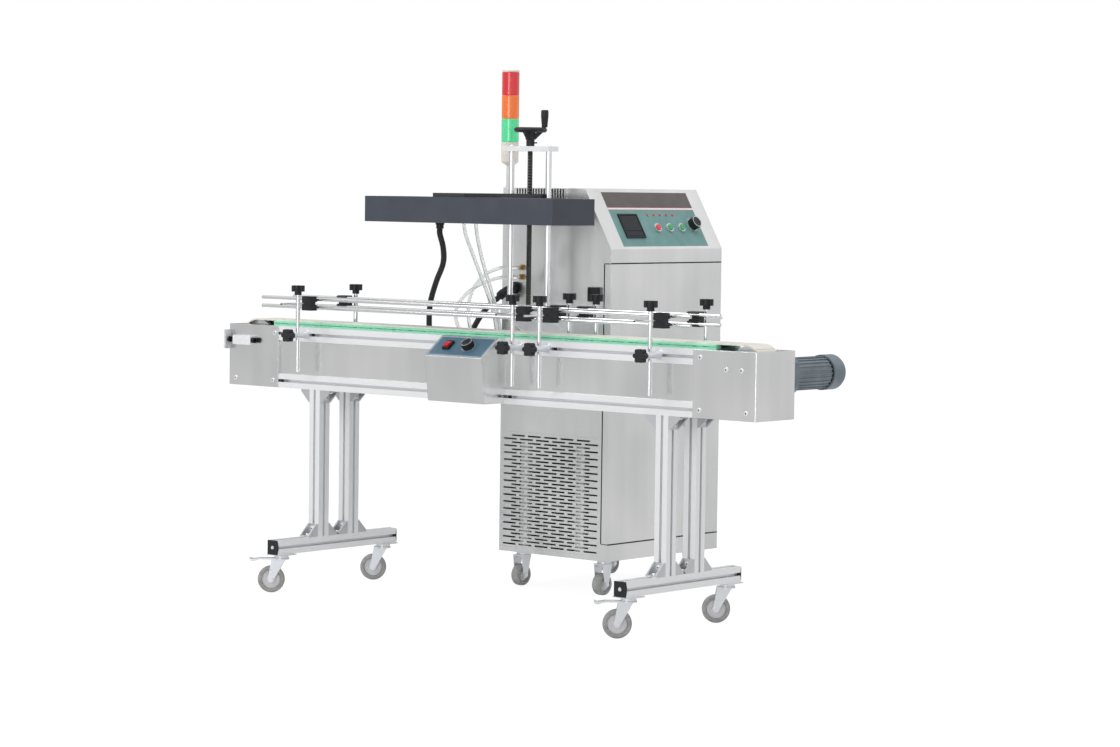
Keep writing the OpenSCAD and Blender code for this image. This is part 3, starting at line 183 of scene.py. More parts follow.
def linear(hex_colour):
    """An sRGB hex colour as linear red, green, blue and alpha."""
    parts = [int(hex_colour[i:i + 2], 16) / 255 for i in (1, 3, 5)]
    return (*[c / 12.92 if c <= 0.04045 else ((c + 0.055) / 1.055) ** 2.4 for c in parts], 1.0)


def finish(name, colour, roughness, metallic=0.0, ior=1.5):
    """A new material with its shader, and its object coordinates for patterns."""
    made = bpy.data.materials.new(name)
    made.use_nodes = True
    tree = made.node_tree
    shader = tree.nodes["Principled BSDF"]
    shader.inputs["Base Color"].default_value = linear(colour)
    shader.inputs["Roughness"].default_value = roughness
    shader.inputs["Metallic"].default_value = metallic
    if not metallic:
        shader.inputs["IOR"].default_value = ior
    return made, tree, shader, node(tree, "ShaderNodeTexCoord").outputs["Object"]


def noise(tree, place, size, detail=3.0):
    """Soft blotches of a given size in millimetres."""
    made = node(tree, "ShaderNodeTexNoise", {"Vector": place, "Scale": 1 / (size * MM), "Detail": detail})
    return made.outputs[0]


def emboss(tree, shader, height, depth, strength=1.0, **more):
    """Raises a finish by a pattern, by a given depth in millimetres."""
    bump = node(tree, "ShaderNodeBump",
                {"Height": height, "Strength": strength, "Distance": depth * MM, **more})
    tree.links.new(bump.outputs[0], shader.inputs["Normal"])


def smooth_route(points, steps):
    """Points on the smooth line through a route, as the solid's own line runs."""
    p = [np.array(q) for q in points]
    line = []
    for i in range(len(p) - 1):
        a, b, c, d = p[max(i - 1, 0)], p[i], p[i + 1], p[min(i + 2, len(p) - 1)]
        for k in range(steps):
            t = k / steps
            line.append(0.5 * (2 * b + (c - a) * t + (2 * a - 5 * b + 4 * c - d) * t * t
                               + (3 * b - a - 3 * c + d) * t ** 3))
    return line + [p[-1]]


def swept_tube(name, line, radius, sides):
    """A closed tube along a line; its UV map runs along the length in metres and once round."""
    count = len(line)
    ways = [line[1] - line[0]]
    ways += [line[i + 1] - line[i - 1] for i in range(1, count - 1)] + [line[-1] - line[-2]]
    ways = [w / np.linalg.norm(w) for w in ways]
    side = np.array((1.0, 0, 0)) if abs(ways[0][0]) < 0.9 else np.array((0, 0, 1.0))
    angles = [2 * math.pi * k / sides for k in range(sides)]
    verts, reach = [], [0.0]
    for i, (q, w) in enumerate(zip(line, ways)):
        side = side - w * (side @ w)
        side /= np.linalg.norm(side)
        other = np.cross(w, side)
        verts += [q + radius * (math.cos(a) * side + math.sin(a) * other) for a in angles]
        if i:
            reach.append(reach[-1] + np.linalg.norm(line[i] - line[i - 1]))
    faces = [(i + k, i + (k + 1) % sides, i + sides + (k + 1) % sides, i + sides + k)
             for i in range(0, (count - 1) * sides, sides) for k in range(sides)]
    faces += [tuple(reversed(range(sides))), tuple((count - 1) * sides + k for k in range(sides))]
    mesh = bpy.data.meshes.new(name)
    mesh.from_pydata([tuple(v) for v in verts], [], faces)
    layer = mesh.uv_layers.new(name="along")
    for n, face in enumerate(mesh.polygons):
        for loop in face.loop_indices:
            ring, k = divmod(mesh.loops[loop].vertex_index, sides)
            turn = 1.0 if n < (count - 1) * sides and k == 0 and n % sides == sides - 1 else k / sides
            layer.data[loop].uv = (reach[ring], turn)
        face.use_smooth = len(face.vertices) == 4
    made = bpy.data.objects.new(name, mesh)
    scene.collection.objects.link(made)
    return made, reach[-1]


# Rubber sheath: nearly black and matt, with faint rings from the extruder, drawn 6 mm apart to show
rubber, tree, shader, place = finish("extruded_rubber_sheath", "#1d1e20", 0.55)
along = node(tree, "ShaderNodeUVMap", uv_map="along")
split = node(tree, "ShaderNodeSeparateXYZ", {0: along.outputs[0]})
RING_MM = 6.0
rings = node(tree, "ShaderNodeMath", {0: split.outputs[0], 1: 2 * math.pi / (RING_MM * MM)},
             operation="MULTIPLY")
wave = node(tree, "ShaderNodeMath", {0: rings.outputs[0]}, operation="SINE")
shade = node(tree, "ShaderNodeMapRange", {"Value": noise(tree, place, 14), "To Min": 0.45, "To Max": 0.68})
tree.links.new(shade.outputs[0], shader.inputs["Roughness"])
emboss(tree, shader, wave.outputs[0], 0.4, strength=0.25)

# Clear soft PVC: glossy outside, the background seen through it, with a milky tint where it is thick
clear_pvc, tree, shader, place = finish("clear_soft_pvc", "#f2f5f5", 0.16, ior=1.4)
shader.inputs["Transmission Weight"].default_value = 0.72
haze = node(tree, "ShaderNodeMapRange",
            {"Value": noise(tree, place, 25, detail=2.0), "To Min": 0.10, "To Max": 0.26})
tree.links.new(haze.outputs[0], shader.inputs["Roughness"])

CABLE_D, HOSE_D, ROUTE_STEPS, TUBE_SIDES = 16, 10, 8, 20
CABLE = [(-266, 68, 1019), (-266, 68, 1004), (-264, 80, 966), (-291, 110, 922), (-345, 140, 866),
         (-383, 158, 802), (-392, 166, 731), (-390, 177, 690), (-380, 200, 660), (-368, 230, 649),
         (-357, 259, 661), (-349, 280, 690), (-343, 292, 726), (-324, 305, 768), (-298, 317, 803),
         (-279, 324, 819), (-267, 324, 828)]
HOSE_A = [(-212, 106, 1085), (-212, 116, 1085), (-212, 140, 1073), (-211, 153, 1045), (-206, 156, 1000),
          (-188, 160, 928), (-158, 178, 815), (-154, 196, 745), (-178, 212, 704), (-232, 220, 690),
          (-296, 220, 706), (-334, 218, 750), (-338, 220, 794), (-318, 236, 832), (-290, 262, 860),
          (-258, 290, 877), (-232, 314, 883), (-217, 338, 883), (-217, 346, 883)]
HOSE_B = [(-257, 106, 1085), (-257, 116, 1085), (-257, 140, 1073), (-256, 153, 1045), (-250, 158, 1000),
          (-222, 168, 928), (-188, 194, 815), (-184, 214, 745), (-206, 236, 690), (-248, 246, 670),
          (-292, 250, 688), (-314, 250, 740), (-322, 252, 800), (-314, 264, 850), (-292, 288, 888),
          (-260, 308, 906), (-232, 322, 911), (-217, 340, 910), (-217, 346, 910)]
for name, route, width, skin, slot, start, end, firm in (
        ("power_cable", CABLE, CABLE_D, rubber, "cable_rubber", (-390, 177, 691), (-390, -16, 884), "stiff"),
        ("hose_a", HOSE_A, HOSE_D, clear_pvc, "hose_clear", (-154, 196, 747), (-61, 103, 878), "medium"),
        ("hose_b", HOSE_B, HOSE_D, clear_pvc, "hose_clear", (-184, 214, 745), (-90, 120, 876), "medium")):
    line = smooth_route([from_line(*p) for p in route], ROUTE_STEPS)
    run, length = swept_tube(name + "_run", line, width * MM / 2, TUBE_SIDES)
    run.data.materials.append(skin)
    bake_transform(run)
    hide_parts(name)

# Frame: slotted aluminium extrusion, natural anodised, cut to length; the uprights stand on foot beams.
# Anodising leaves a pale satin metal with faint die lines; black moulded caps close the beams.


def dress(name, *finishes, pick=None):
    """Gives a solid its materials; pick chooses one for each face from its middle and normal."""
    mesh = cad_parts[name].data
    mesh.materials.clear()
    for each in finishes:
        mesh.materials.append(each)
    for face in mesh.polygons:
        face.material_index = pick(face.center, face.normal) if pick else 0


def speckle(tree, shader, place, size, rough, height=0.0):
    """Uneven roughness from a noise of a given size in millimetres, and a bump of a given height."""
    blotches = noise(tree, place, size)
    level_of = node(tree, "ShaderNodeMapRange", {"Value": blotches, "From Min": 0.25, "From Max": 0.75,
                                                 "To Min": rough[0], "To Max": rough[1]})
    tree.links.new(level_of.outputs[0], shader.inputs["Roughness"])
    if height:
        emboss(tree, shader, blotches, height)


def two_tone(tree, shader, place, size, dark, light):
    """Colour that drifts between two tones over a given size in millimetres."""
    ramp = node(tree, "ShaderNodeMapRange",
                {"Value": noise(tree, place, size), "From Min": 0.3, "From Max": 0.7})
    tone = node(tree, "ShaderNodeMix", {0: ramp.outputs[0], 6: linear(dark), 7: linear(light)},
                data_type="RGBA")
    tree.links.new(tone.outputs[2], shader.inputs["Base Color"])


def surface(name, colour, roughness, speckles, tones=None, metallic=0.0, coat=0.0, specular=0.5):
    """A whole finish: speckles are (size, roughness, height) and tones (size, dark, light)."""
    made, tree, shader, place = finish(name, colour, roughness, metallic)
    speckle(tree, shader, place, *speckles)
    if tones:
        two_tone(tree, shader, place, *tones)
    shader.inputs["Coat Weight"].default_value = coat
    shader.inputs["Specular IOR Level"].default_value = specular
    return made


# Anodised extrusion: pale satin grey with soft lights; its die lines are drawn 1.6 mm wide so that they show
anodised, tree, shader, place = finish("anodised_extrusion", "#f3f4f6", 0.36, metallic=0.48)
speckle(tree, shader, place, 30, (0.30, 0.42))
DIE_LINE = 1.6
flow = node(tree, "ShaderNodeMapping", {"Vector": place, "Scale": (0.01, 1, 1)})
emboss(tree, shader, noise(tree, flow.outputs[0], DIE_LINE, detail=2.0), 0.04, strength=0.15)
dress("frame_rails", anodised)

# Black polyamide: near black and half matt, with a moulded grain drawn coarse enough to show
black_pa = surface("moulded_black_polyamide", "#202225", 0.42, (1.1, (0.34, 0.52), 0.05), specular=0.35)
CAP_IN = 235.9 * MM
dress("leg_profiles", anodised, black_pa, pick=lambda c, n: int(abs(c.y - LINE_Y) > CAP_IN))


def node_group(name, *sizes):
    """A new geometry tree with its geometry input and output and its named size inputs."""
    tree = bpy.data.node_groups.new(name, "GeometryNodeTree")
    tree.interface.new_socket("Geometry", in_out="INPUT", socket_type="NodeSocketGeometry")
    for each in sizes:
        kind = "NodeSocketMaterial" if each.endswith("Finish") else "NodeSocketFloat"
        tree.interface.new_socket(each, in_out="INPUT", socket_type=kind)
    tree.interface.new_socket("Geometry", in_out="OUTPUT", socket_type="NodeSocketGeometry")
    return tree, node(tree, "NodeGroupInput")


def close_group(tree, source, pieces, recess=None):
    """Sets the pieces on the points at each point's turn, makes them real and gives them their finish."""
    turn = node(tree, "GeometryNodeInputNamedAttribute", {"Name": "turn"}, data_type="FLOAT_VECTOR")
    turned = node(tree, "FunctionNodeEulerToRotation", {0: turn.outputs[0]})
    put = node(tree, "GeometryNodeInstanceOnPoints", {"Points": source.outputs["Geometry"],
               "Instance": pieces.outputs[0], "Rotation": turned.outputs[0]})
    real = node(tree, "GeometryNodeRealizeInstances", {"Geometry": put.outputs[0]})
    done = node(tree, "GeometryNodeSetMaterial",
                {"Geometry": real.outputs[0], "Material": source.outputs["Finish"]})
    # Faces that carry the marked attribute take the second finish, a painted shade
    if recess:
        deep = node(tree, "GeometryNodeInputNamedAttribute", {"Name": recess}, data_type="BOOLEAN")
        done = node(tree, "GeometryNodeSetMaterial", {"Geometry": done.outputs[0], "Selection": deep.outputs[0],
                    "Material": source.outputs["Recess Finish"]})
    node(tree, "NodeGroupOutput", {"Geometry": done.outputs[0]})


def set_out(name, tree, spots, **sizes):
    """Runs a tree on a list of places and turns, and keeps its result as a plain mesh."""
    mesh = bpy.data.meshes.new(name)
    mesh.from_pydata([tuple(p) for p, _ in spots], [], [])
    turns = mesh.attributes.new("turn", "FLOAT_VECTOR", "POINT")
    for i, (_, turn) in enumerate(spots):
        turns.data[i].vector = turn.to_euler()
    made = bpy.data.objects.new(name, mesh)
    scene.collection.objects.link(made)
    run = made.modifiers.new("set_out", "NODES")
    run.node_group = tree
    for item in tree.interface.items_tree:
        key = item.name.replace(" ", "_").lower()
        if item.in_out == "INPUT" and key in sizes:
            run[item.identifier] = sizes[key]
    bpy.context.view_layer.update()
    done = bpy.data.meshes.new_from_object(made.evaluated_get(bpy.context.evaluated_depsgraph_get()))
    made.modifiers.clear()
    made.data = done
    done.name = name
    return made


def facing(x, y, z):
    """The turn that points a piece's own Z along a direction."""
    return Vector((x, y, z)).to_track_quat("Z", "Y")


# Socket screws: low heads turned from steel bar; the hexagon socket is a flat dark skin on the crown, painted
# shade for the socket's depth.
# One tree makes the head, and each group of screws sets its own size and finish.
HEAD_SIDES, CROWN_SHARE, SOCKET_SHARE, SOCKET_SKIN = 24, 0.78, 0.4, 0.05
screws, given = node_group("socket_screws", "Head Radius", "Head Height", "Finish", "Recess Finish")
head_r, head_h = given.outputs["Head Radius"], given.outputs["Head Height"]
half = node(screws, "ShaderNodeMath", {0: head_h, 1: 0.5}, operation="MULTIPLY")
crown_r = node(screws, "ShaderNodeMath", {0: head_r, 1: CROWN_SHARE}, operation="MULTIPLY")
hex_r = node(screws, "ShaderNodeMath", {0: head_r, 1: SOCKET_SHARE}, operation="MULTIPLY")
skirt = node(screws, "GeometryNodeMeshCone", {"Vertices": HEAD_SIDES, "Radius Top": head_r,
             "Radius Bottom": head_r, "Depth": half.outputs[0]})
crown = node(screws, "GeometryNodeMeshCone", {"Vertices": HEAD_SIDES, "Radius Top": crown_r.outputs[0],
             "Radius Bottom": head_r, "Depth": half.outputs[0]})
lift = node(screws, "ShaderNodeCombineXYZ", {2: half.outputs[0]})
crown_up = node(screws, "GeometryNodeTransform",
                {"Geometry": crown.outputs[0], "Translation": lift.outputs[0]})
socket = node(screws, "GeometryNodeMeshCone", {"Vertices": 6, "Radius Top": hex_r.outputs[0],
              "Radius Bottom": hex_r.outputs[0], "Depth": SOCKET_SKIN * MM})
rise = node(screws, "ShaderNodeCombineXYZ", {2: head_h})
socket_up = node(screws, "GeometryNodeTransform",
                 {"Geometry": socket.outputs[0], "Translation": rise.outputs[0]})
# The flat hexagon is marked so that it takes the dark socket finish, painted shade
marked = node(screws, "GeometryNodeStoreNamedAttribute", {"Geometry": socket_up.outputs[0], "Name": "recess",
              "Value": True}, data_type="BOOLEAN", domain="FACE")
head = node(screws, "GeometryNodeJoinGeometry",
            {0: [skirt.outputs[0], crown_up.outputs[0], marked.outputs[0]]})
close_group(screws, given, head, "recess")

# Cap plugs: small domes moulded in pale polyamide and pressed into the middle of each foot cap.
# Each closes the hole of the screw that holds the cap in the beam's core.
LEGS, FOOT_END, FOOT_MID = (-600, 646), 240, 128
# Pale polyamide: a milky off-white, half matt, with a slightly cloudy shine
pale_pa = surface("moulded_pale_polyamide", "#d6d6d9", 0.42, (4, (0.34, 0.52)))
plugs = set_out("cap_plugs", screws, [(from_line(x, s * FOOT_END, FOOT_MID), facing(0, s, 0))
                                      for x in LEGS for s in (-1, 1)],
                head_radius=5 * MM, head_height=2.5 * MM, finish=pale_pa, recess_finish=pale_pa)
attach(plugs, "machine")

# Corner brackets: die-cast aluminium, tumbled smooth, at the head and the foot of every upright.
# A bright button-head screw in each flange holds them to nuts in the bars' slots.
HALF_BAR, FLANGE_T, FLANGE_MID = 20, 5, 22
RAIL_LOW, RAIL_MID, LEG_FOOT = 560, 60, 148
# Tumbled die casting: dull silver, finely dimpled, with broad soft lights
die_cast = surface("tumbled_die_cast_aluminium", "#cfd1d4", 0.42, (2.5, (0.34, 0.52), 0.06), metallic=1.0)
# Bright zinc screw: almost white, with a small sharp light on the crown
bright = surface("bright_zinc_screw", "#f3f4f6", 0.24, (2, (0.18, 0.32)), metallic=0.5)
# Socket shadow: painted shade, the matt dark grey that a deep socket shows from outside, laid on a flat hexagon
shadow = surface("screw_socket_shadow", "#3a3b3d", 0.7, (2, (0.6, 0.8)))
dress("corner_brackets", die_cast)
far, near = HALF_BAR + FLANGE_MID, HALF_BAR + FLANGE_T
spots = []
for x in LEGS:
    for y in (-RAIL_MID, RAIL_MID):
        for m in (-1, 1):
            spots += [(from_line(x + m * far, y, RAIL_LOW - FLANGE_T), facing(0, 0, -1)),
                      (from_line(x + m * near, y, RAIL_LOW - FLANGE_MID), facing(m, 0, 0)),
                      (from_line(x, y + m * far, LEG_FOOT + FLANGE_T), facing(0, 0, 1)),
                      (from_line(x, y + m * near, LEG_FOOT + FLANGE_MID), facing(0, m, 0))]
bolts = set_out("bracket_bolts", screws, spots, head_radius=6.5 * MM, head_height=4.5 * MM, finish=bright,
                recess_finish=shadow)
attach(bolts, "machine")

# Slot nuts: blackened steel blocks with a tapped hole, slid into the rails' slots.
# They are left there so that more brackets can be fixed later.
NUT_SPOTS, SLOT_FACE, NUT_IN = ((-609, 714), (-731, 580), (128, 580), (284, 714)), 80, 1.2
HOLE_R, HOLE_PROUD = 2, 0.3
nuts, given = node_group("slot_nuts", "Length", "Width", "Depth", "Finish")
size = node(nuts, "ShaderNodeCombineXYZ", {0: given.outputs["Length"], 1: given.outputs["Width"],
            2: given.outputs["Depth"]})
block = node(nuts, "GeometryNodeMeshCube", {"Size": size.outputs[0]})
hole = node(nuts, "GeometryNodeMeshCylinder",
            {"Vertices": 16, "Radius": HOLE_R * MM, "Depth": given.outputs["Depth"]})
up = node(nuts, "GeometryNodeTransform", {"Geometry": hole.outputs[0], "Translation": (0, 0, HOLE_PROUD * MM)})
close_group(nuts, given, node(nuts, "GeometryNodeJoinGeometry", {0: [block.outputs[0], up.outputs[0]]}))
# Black oxide: a deep blue-black skin on steel, with a dim metallic shine
oxide = surface("black_oxide_steel", "#1c1d20", 0.38, (2, (0.30, 0.48)), metallic=0.6)
held = set_out("slot_nuts", nuts, [(from_line(x, s * (SLOT_FACE - NUT_IN), z), facing(0, s, 0))
               for x, z in NUT_SPOTS for s in (-1, 1)],
               length=11 * MM, width=7.6 * MM, depth=2 * MM, finish=oxide)
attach(held, "machine")

# Casters: plates and forks pressed from steel and zinc-plated, bolted under the foot beams and the cabinet.
# Their wheels are pale moulded hubs with grey rubber tyres, and turn on a bolt through the fork.
CORNERS = ("front_left", "front_right", "rear_left", "rear_right")
RIM_W, FORK_TURN = 12.9 * MM, math.radians(220)
CAB_WHEEL_R, CAB_WHEEL_HALF, CAB_WHEEL_SLACK = 31 * MM, 14.75 * MM, 0.5 * MM
axle_way = Vector((-math.sin(FORK_TURN), math.cos(FORK_TURN), 0))
# Zinc plate: bright blue-white, evenly blurred, as pressed sheet is after plating
zinc = surface("bright_zinc_plate", "#e3e6ea", 0.3, (14, (0.26, 0.36)), metallic=0.7)
# Tyre rubber: a warm mid grey, quite matt, scuffed lighter and darker in patches
tyre = surface("grey_tyre_rubber", "#9d9d9b", 0.6, (1.5, (0.5, 0.7), 0.04), (12, "#8f8f8d", "#a8a8a6"))
dress("caster_plates", zinc)


def wheel_part(c, centre, way, radius):
    """1 on the hub and 0 on the tyre, from the distance to the axle."""
    arm = c - centre
    return int((arm - way * arm.dot(way)).length < radius - RIM_W)


for corner in CORNERS:
    dress("fork_" + corner, zinc)
    low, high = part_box("wheel_" + corner)
    dress("wheel_" + corner, tyre, pale_pa,
          pick=lambda c, n, m=(low + high) / 2, r=(high.z - low.z) / 2: wheel_part(c, m, axle_way, r))
    low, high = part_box("cab_caster_" + corner)
    hub_at = Vector(((low.x + high.x) / 2, low.y + CAB_WHEEL_R, CAB_WHEEL_R))
    dress("cab_caster_" + corner, zinc, tyre, pale_pa,
          pick=lambda c, n, m=hub_at: 1 + wheel_part(c, m, Vector((1, 0, 0)), CAB_WHEEL_R)
          if abs(c.x - m.x) < CAB_WHEEL_HALF and c.z < 2 * CAB_WHEEL_R + CAB_WHEEL_SLACK else 0)

# Side panels and end boxes: brushed stainless sheet, folded and screwed to the rails.
# The idler box carries the chain take-ups and the drive box the wheel's flange bearing.
GRAIN, STREAK, CLOUD, FOLD_R, CHEEK = 1.4, 55, 260, 2.2, 82
CHEEK_SCREWS = (768, 714), (767, 580), (915, 580), (-758, 714), (-916, 580), (-765, 580)
BEARING_SCREWS = (851, 686), (899, 686)
# Brushed stainless: bright, softly streaked upright by the belt, with a light line along each fold;
# the belt's grain is drawn 1.4 mm wide so that it shows
stainless, tree, shader, place = finish("brushed_stainless_sheet", "#e2e3e2", 0.24, metallic=1.0)
flow = node(tree, "ShaderNodeMapping", {"Vector": place, "Scale": (1, 1, 0.02)})
brush, streak = (noise(tree, flow.outputs[0], size, detail=2.0) for size in (GRAIN, STREAK))
cloud = noise(tree, place, CLOUD, detail=1.0)
grain = node(tree, "ShaderNodeMath", {0: brush, 1: 0.3, 2: streak}, operation="MULTIPLY_ADD")
satin = node(tree, "ShaderNodeMapRange", {"Value": grain.outputs[0], "From Min": 0.45, "From Max": 0.85,
                                          "To Min": 0.17, "To Max": 0.27})
tree.links.new(satin.outputs[0], shader.inputs["Roughness"])
drift = node(tree, "ShaderNodeMath", {0: streak, 1: 0.35, 2: cloud}, operation="MULTIPLY_ADD")
shade = node(tree, "ShaderNodeMapRange", {"Value": drift.outputs[0], "From Min": 0.45, "From Max": 0.9})
tone = node(tree, "ShaderNodeMix", {0: shade.outputs[0], 6: linear("#d8d9d9"), 7: linear("#ecedec")},
            data_type="RGBA")
tree.links.new(tone.outputs[2], shader.inputs["Base Color"])
fold = node(tree, "ShaderNodeBevel", {"Radius": FOLD_R * MM}, samples=4)
emboss(tree, shader, brush, 0.03, strength=0.1, Normal=fold.outputs[0])
for name in ("side_panels", "idler_box", "drive_box"):
    dress(name, stainless)
spots = [(from_line(x, s * CHEEK, z), facing(0, s, 0)) for s in (-1, 1) for x, z in CHEEK_SCREWS]
spots += [(from_line(x, -CHEEK, z), facing(0, -1, 0)) for x, z in BEARING_SCREWS]
cheek_screws = set_out("cheek_screws", screws, spots, head_radius=6.5 * MM, head_height=3.5 * MM, finish=bright,
                       recess_finish=shadow)
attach(cheek_screws, "machine")

# Take-ups: an aluminium block, milled to slide on each cheek of the idler box, tightens the chain.
# A black draw screw pulls it from a pale anchor plate at the box's end.
ANCHOR_X, BLOCK_X = -939, (-911, -839)
HAIR, FINE_HAIR = 0.1, 0.01  # how far past an edge a face still counts as inside it


def take_up_part(c, n):
    """0 on the block, 1 on the draw screw, 2 on the anchor plate."""
    x = c.x / MM
    return 2 if x < ANCHOR_X + HAIR else int(not BLOCK_X[0] - FINE_HAIR < x < BLOCK_X[1] + FINE_HAIR)


dress("take_ups", anodised, oxide, pale_pa, pick=take_up_part)

# Gear motor: cast housings in blue-grey enamel, the gear head bolted behind the drive box by four black screws.
# The ribbed motor is flanged to it, with a black band between its ribs and the fan cover.
BAND, AXIS_X, AXIS_Z, FLANGE_Y, BOLT_OUT = (283.2, 289.8), 875, 668, 132, 32
# Enamel: blue-grey, half glossy, with the slight orange peel of sprayed paint on a casting
enamel = surface("blue_grey_enamel", "#717d86", 0.36, (2.2, (0.28, 0.44), 0.06), (30, "#69757e", "#7b8790"))
dress("gear_head", enamel)
dress("motor", enamel, oxide, pick=lambda c, n: int(BAND[0] < (c.y - LINE_Y) / MM < BAND[1]))
spots = [(from_line(AXIS_X + a * BOLT_OUT, FLANGE_Y, AXIS_Z + b * BOLT_OUT), facing(0, 1, 0))
         for a in (-1, 1) for b in (-1, 1)]
flange_screws = set_out("flange_screws", screws, spots, head_radius=6 * MM, head_height=8 * MM, finish=oxide,
                        recess_finish=shadow)
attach(flange_screws, "machine")

# Wear strips: green polyethylene, planed and clipped along both sides of the chain's upper run.
# The faces in the groove along each outer side are coloured dark in dashes.
GROOVE_Z, GROOVE_HALF, STRIP_OUT, GROOVE_IN = 740, 1.1, 52, 1.2
# Planed polyethylene: a fresh mint green, waxy, with a soft wide shine
green_pe = surface("planed_green_polyethylene", "#8ce0b8", 0.42, (6, (0.34, 0.5)), (15, "#82dbb0", "#9fe8c8"))
# Groove: the mint green broken by dark patches
groove = surface("greasy_groove", "#2f5c46", 0.5, (3, (0.35, 0.6)), (14, "#2a4a3c", "#8ad8b4"))
dress("wear_strips", green_pe, groove, pick=lambda c, n: int(
    abs(c.z / MM - GROOVE_Z) < GROOVE_HALF and abs(c.y - LINE_Y) / MM > STRIP_OUT - GROOVE_IN))

# Slat chain: slats moulded in cream acetal and hinged to each other by steel pins, round two plated wheels.
# The upper run slides on the wear strips and carries the bottles.
SLAT_PITCH = 38.1
# Moulded acetal: creamy white with a waxy shine; each slat came from the mould a little different in tone
acetal, tree, shader, place = finish("moulded_cream_acetal", "#e3dfd3", 0.36)
speckle(tree, shader, place, 25, (0.24, 0.46))
apart = node(tree, "ShaderNodeSeparateXYZ", {0: place})
count = node(tree, "ShaderNodeMath", {0: apart.outputs[0], 1: 1 / (SLAT_PITCH * MM)},
             operation="MULTIPLY")
whole = node(tree, "ShaderNodeMath", {0: count.outputs[0]}, operation="FLOOR")
chance = node(tree, "ShaderNodeTexWhiteNoise", {"W": whole.outputs[0]}, noise_dimensions="1D")
tone = node(tree, "ShaderNodeMix", {0: chance.outputs[0], 6: linear("#e6e2d8"), 7: linear("#f2efe8")},
            data_type="RGBA")
tree.links.new(tone.outputs[2], shader.inputs["Base Color"])
dress("slat_chain", acetal)
for name in ("drive_wheel", "idler_wheel"):
    dress(name, zinc)

# Guide rails: ground steel posts and rods, held by black moulded clamps and six-lobed knobs.
# The clamps' barrels are plated; the cross rods end in black caps.
KNOB_OUT, KNOB_UP, ROD_AT, ROD_UP, ROD_R = 136, 826, 62, (790, 814), 5
CLAMP_OUT, TIP_OUT = 83, 172
# Chromed bar: a clear mirror drawn out along the bar, with a bright core and dark edges
chrome = surface("ground_chromed_bar", "#e2e3e5", 0.14, (8, (0.10, 0.20)), metallic=1.0)
dress("post_clamps", zinc, black_pa, pick=lambda c, n: int(abs(c.y - LINE_Y) / MM > KNOB_OUT - HAIR))


def guide_part(c, n):
    """0 on the rods, 1 on the clamps and the ends of the cross rods."""
    out = abs(c.y - LINE_Y) / MM
    if out > CLAMP_OUT + HAIR:
        return int(out > TIP_OUT)
    return int(min(math.hypot(out - ROD_AT, c.z / MM - z) for z in ROD_UP) > ROD_R + HAIR)


for corner in CORNERS:
    dress("posts_" + corner, chrome, black_pa, pick=lambda c, n: int(c.z / MM > KNOB_UP - HAIR))
    dress("guide_" + corner, chrome, black_pa, pick=guide_part)

# Speed control: a box folded from stainless sheet and hung on the front rail, its slope under a printed film.
# A clear red rocker starts the chain, and a fluted black dial on a silver seat sets its speed.
SPEED_X, SPEED_BROW, SPEED_Z, SPEED_TILT, SPEED_HALF = 8, -175, 684, math.radians(36.607), 43.6
ROCKER_X, ROCKER_HALF, DIAL_X, PANEL_HALF, PANEL_HAIR = -46, (11.5, 15.5), 26, 101, 0.05
FILM_T, EDGE, INK_T, CLEAR, BORDERS, BORDER_W = 0.2, 1.2, 0.05, 0.2, (3.0, 5.6), 0.9
DIAL_HOLE_R, SCALE_R, TICKS, SWEEP, TICK_SIZE = 5, 21.5, 11, 140, (3.2, 0.8, 0.1)
SPEED_DIAL_R, SPEED_DIAL_TOP, RIM_IN, RIM_T, SEAT_OUT, SEAT_T = 17, 17.4, (0.9, 2.7), 0.4, 2.2, 0.1


def skin_of(name, outline, holes, thick, at, skin, body="machine"):
    """A thin sheet of a given outline with holes, laid on a plane by the function at(x, y, height)."""
    solid = bmesh.new()
    edges = []
    for loop in [outline] + holes:
        ring = [solid.verts.new(at(x, y, 0)) for x, y in loop]
        edges += [solid.edges.new((ring[i], ring[(i + 1) % len(ring)])) for i in range(len(ring))]
    out = (at(0, 0, 1) - at(0, 0, 0)).normalized()
    bmesh.ops.triangle_fill(solid, use_beauty=True, edges=edges, normal=out)
    top = bmesh.ops.extrude_face_region(solid, geom=solid.faces[:])
    raised = [g for g in top["geom"] if isinstance(g, bmesh.types.BMVert)]
    bmesh.ops.translate(solid, verts=raised, vec=out * thick * MM)
    bmesh.ops.recalc_face_normals(solid, faces=solid.faces[:])
    mesh = bpy.data.meshes.new(name)
    solid.to_mesh(mesh)
    solid.free()
    mesh.materials.append(skin)
    made = bpy.data.objects.new(name, mesh)
    scene.collection.objects.link(made)
    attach(made, body)
    return made


def box_loop(x0, y0, x1, y1):
    """Corners of an upright rectangle."""
    return [(x0, y0), (x1, y0), (x1, y1), (x0, y1)]


def ring_loop(x, y, r, n=40):
    """Points of a circle."""
    return [(x + r * math.cos(2 * math.pi * i / n), y + r * math.sin(2 * math.pi * i / n)) for i in range(n)]


def on_speed(x, y, h):
    """A place on the speed panel: across, up the slope from its middle, and off it."""
    v = SPEED_HALF + y
    return from_line(SPEED_X + x, SPEED_BROW + v * math.cos(SPEED_TILT) - h * math.sin(SPEED_TILT),
                     SPEED_Z + v * math.sin(SPEED_TILT) + h * math.cos(SPEED_TILT))


panel_out = (on_speed(0, 0, 1) - on_speed(0, 0, 0)).normalized()
panel_mid = on_speed(0, 0, 0)
dress("speed_box", stainless, black_pa, pick=lambda c, n: int((c - panel_mid).dot(panel_out) > PANEL_HAIR * MM))
# Printed blue film: dusk blue polyester, satin, its embossed texture drawn coarse enough to show
blue_film = surface("printed_blue_film", "#496c80", 0.34, (1.2, (0.28, 0.42), 0.02), (40, "#44677c", "#4f7285"))
# White screen ink: a flat clean white, a little chalky
white_ink = surface("white_screen_ink", "#e6e9ea", 0.5, (1, (0.42, 0.6)))


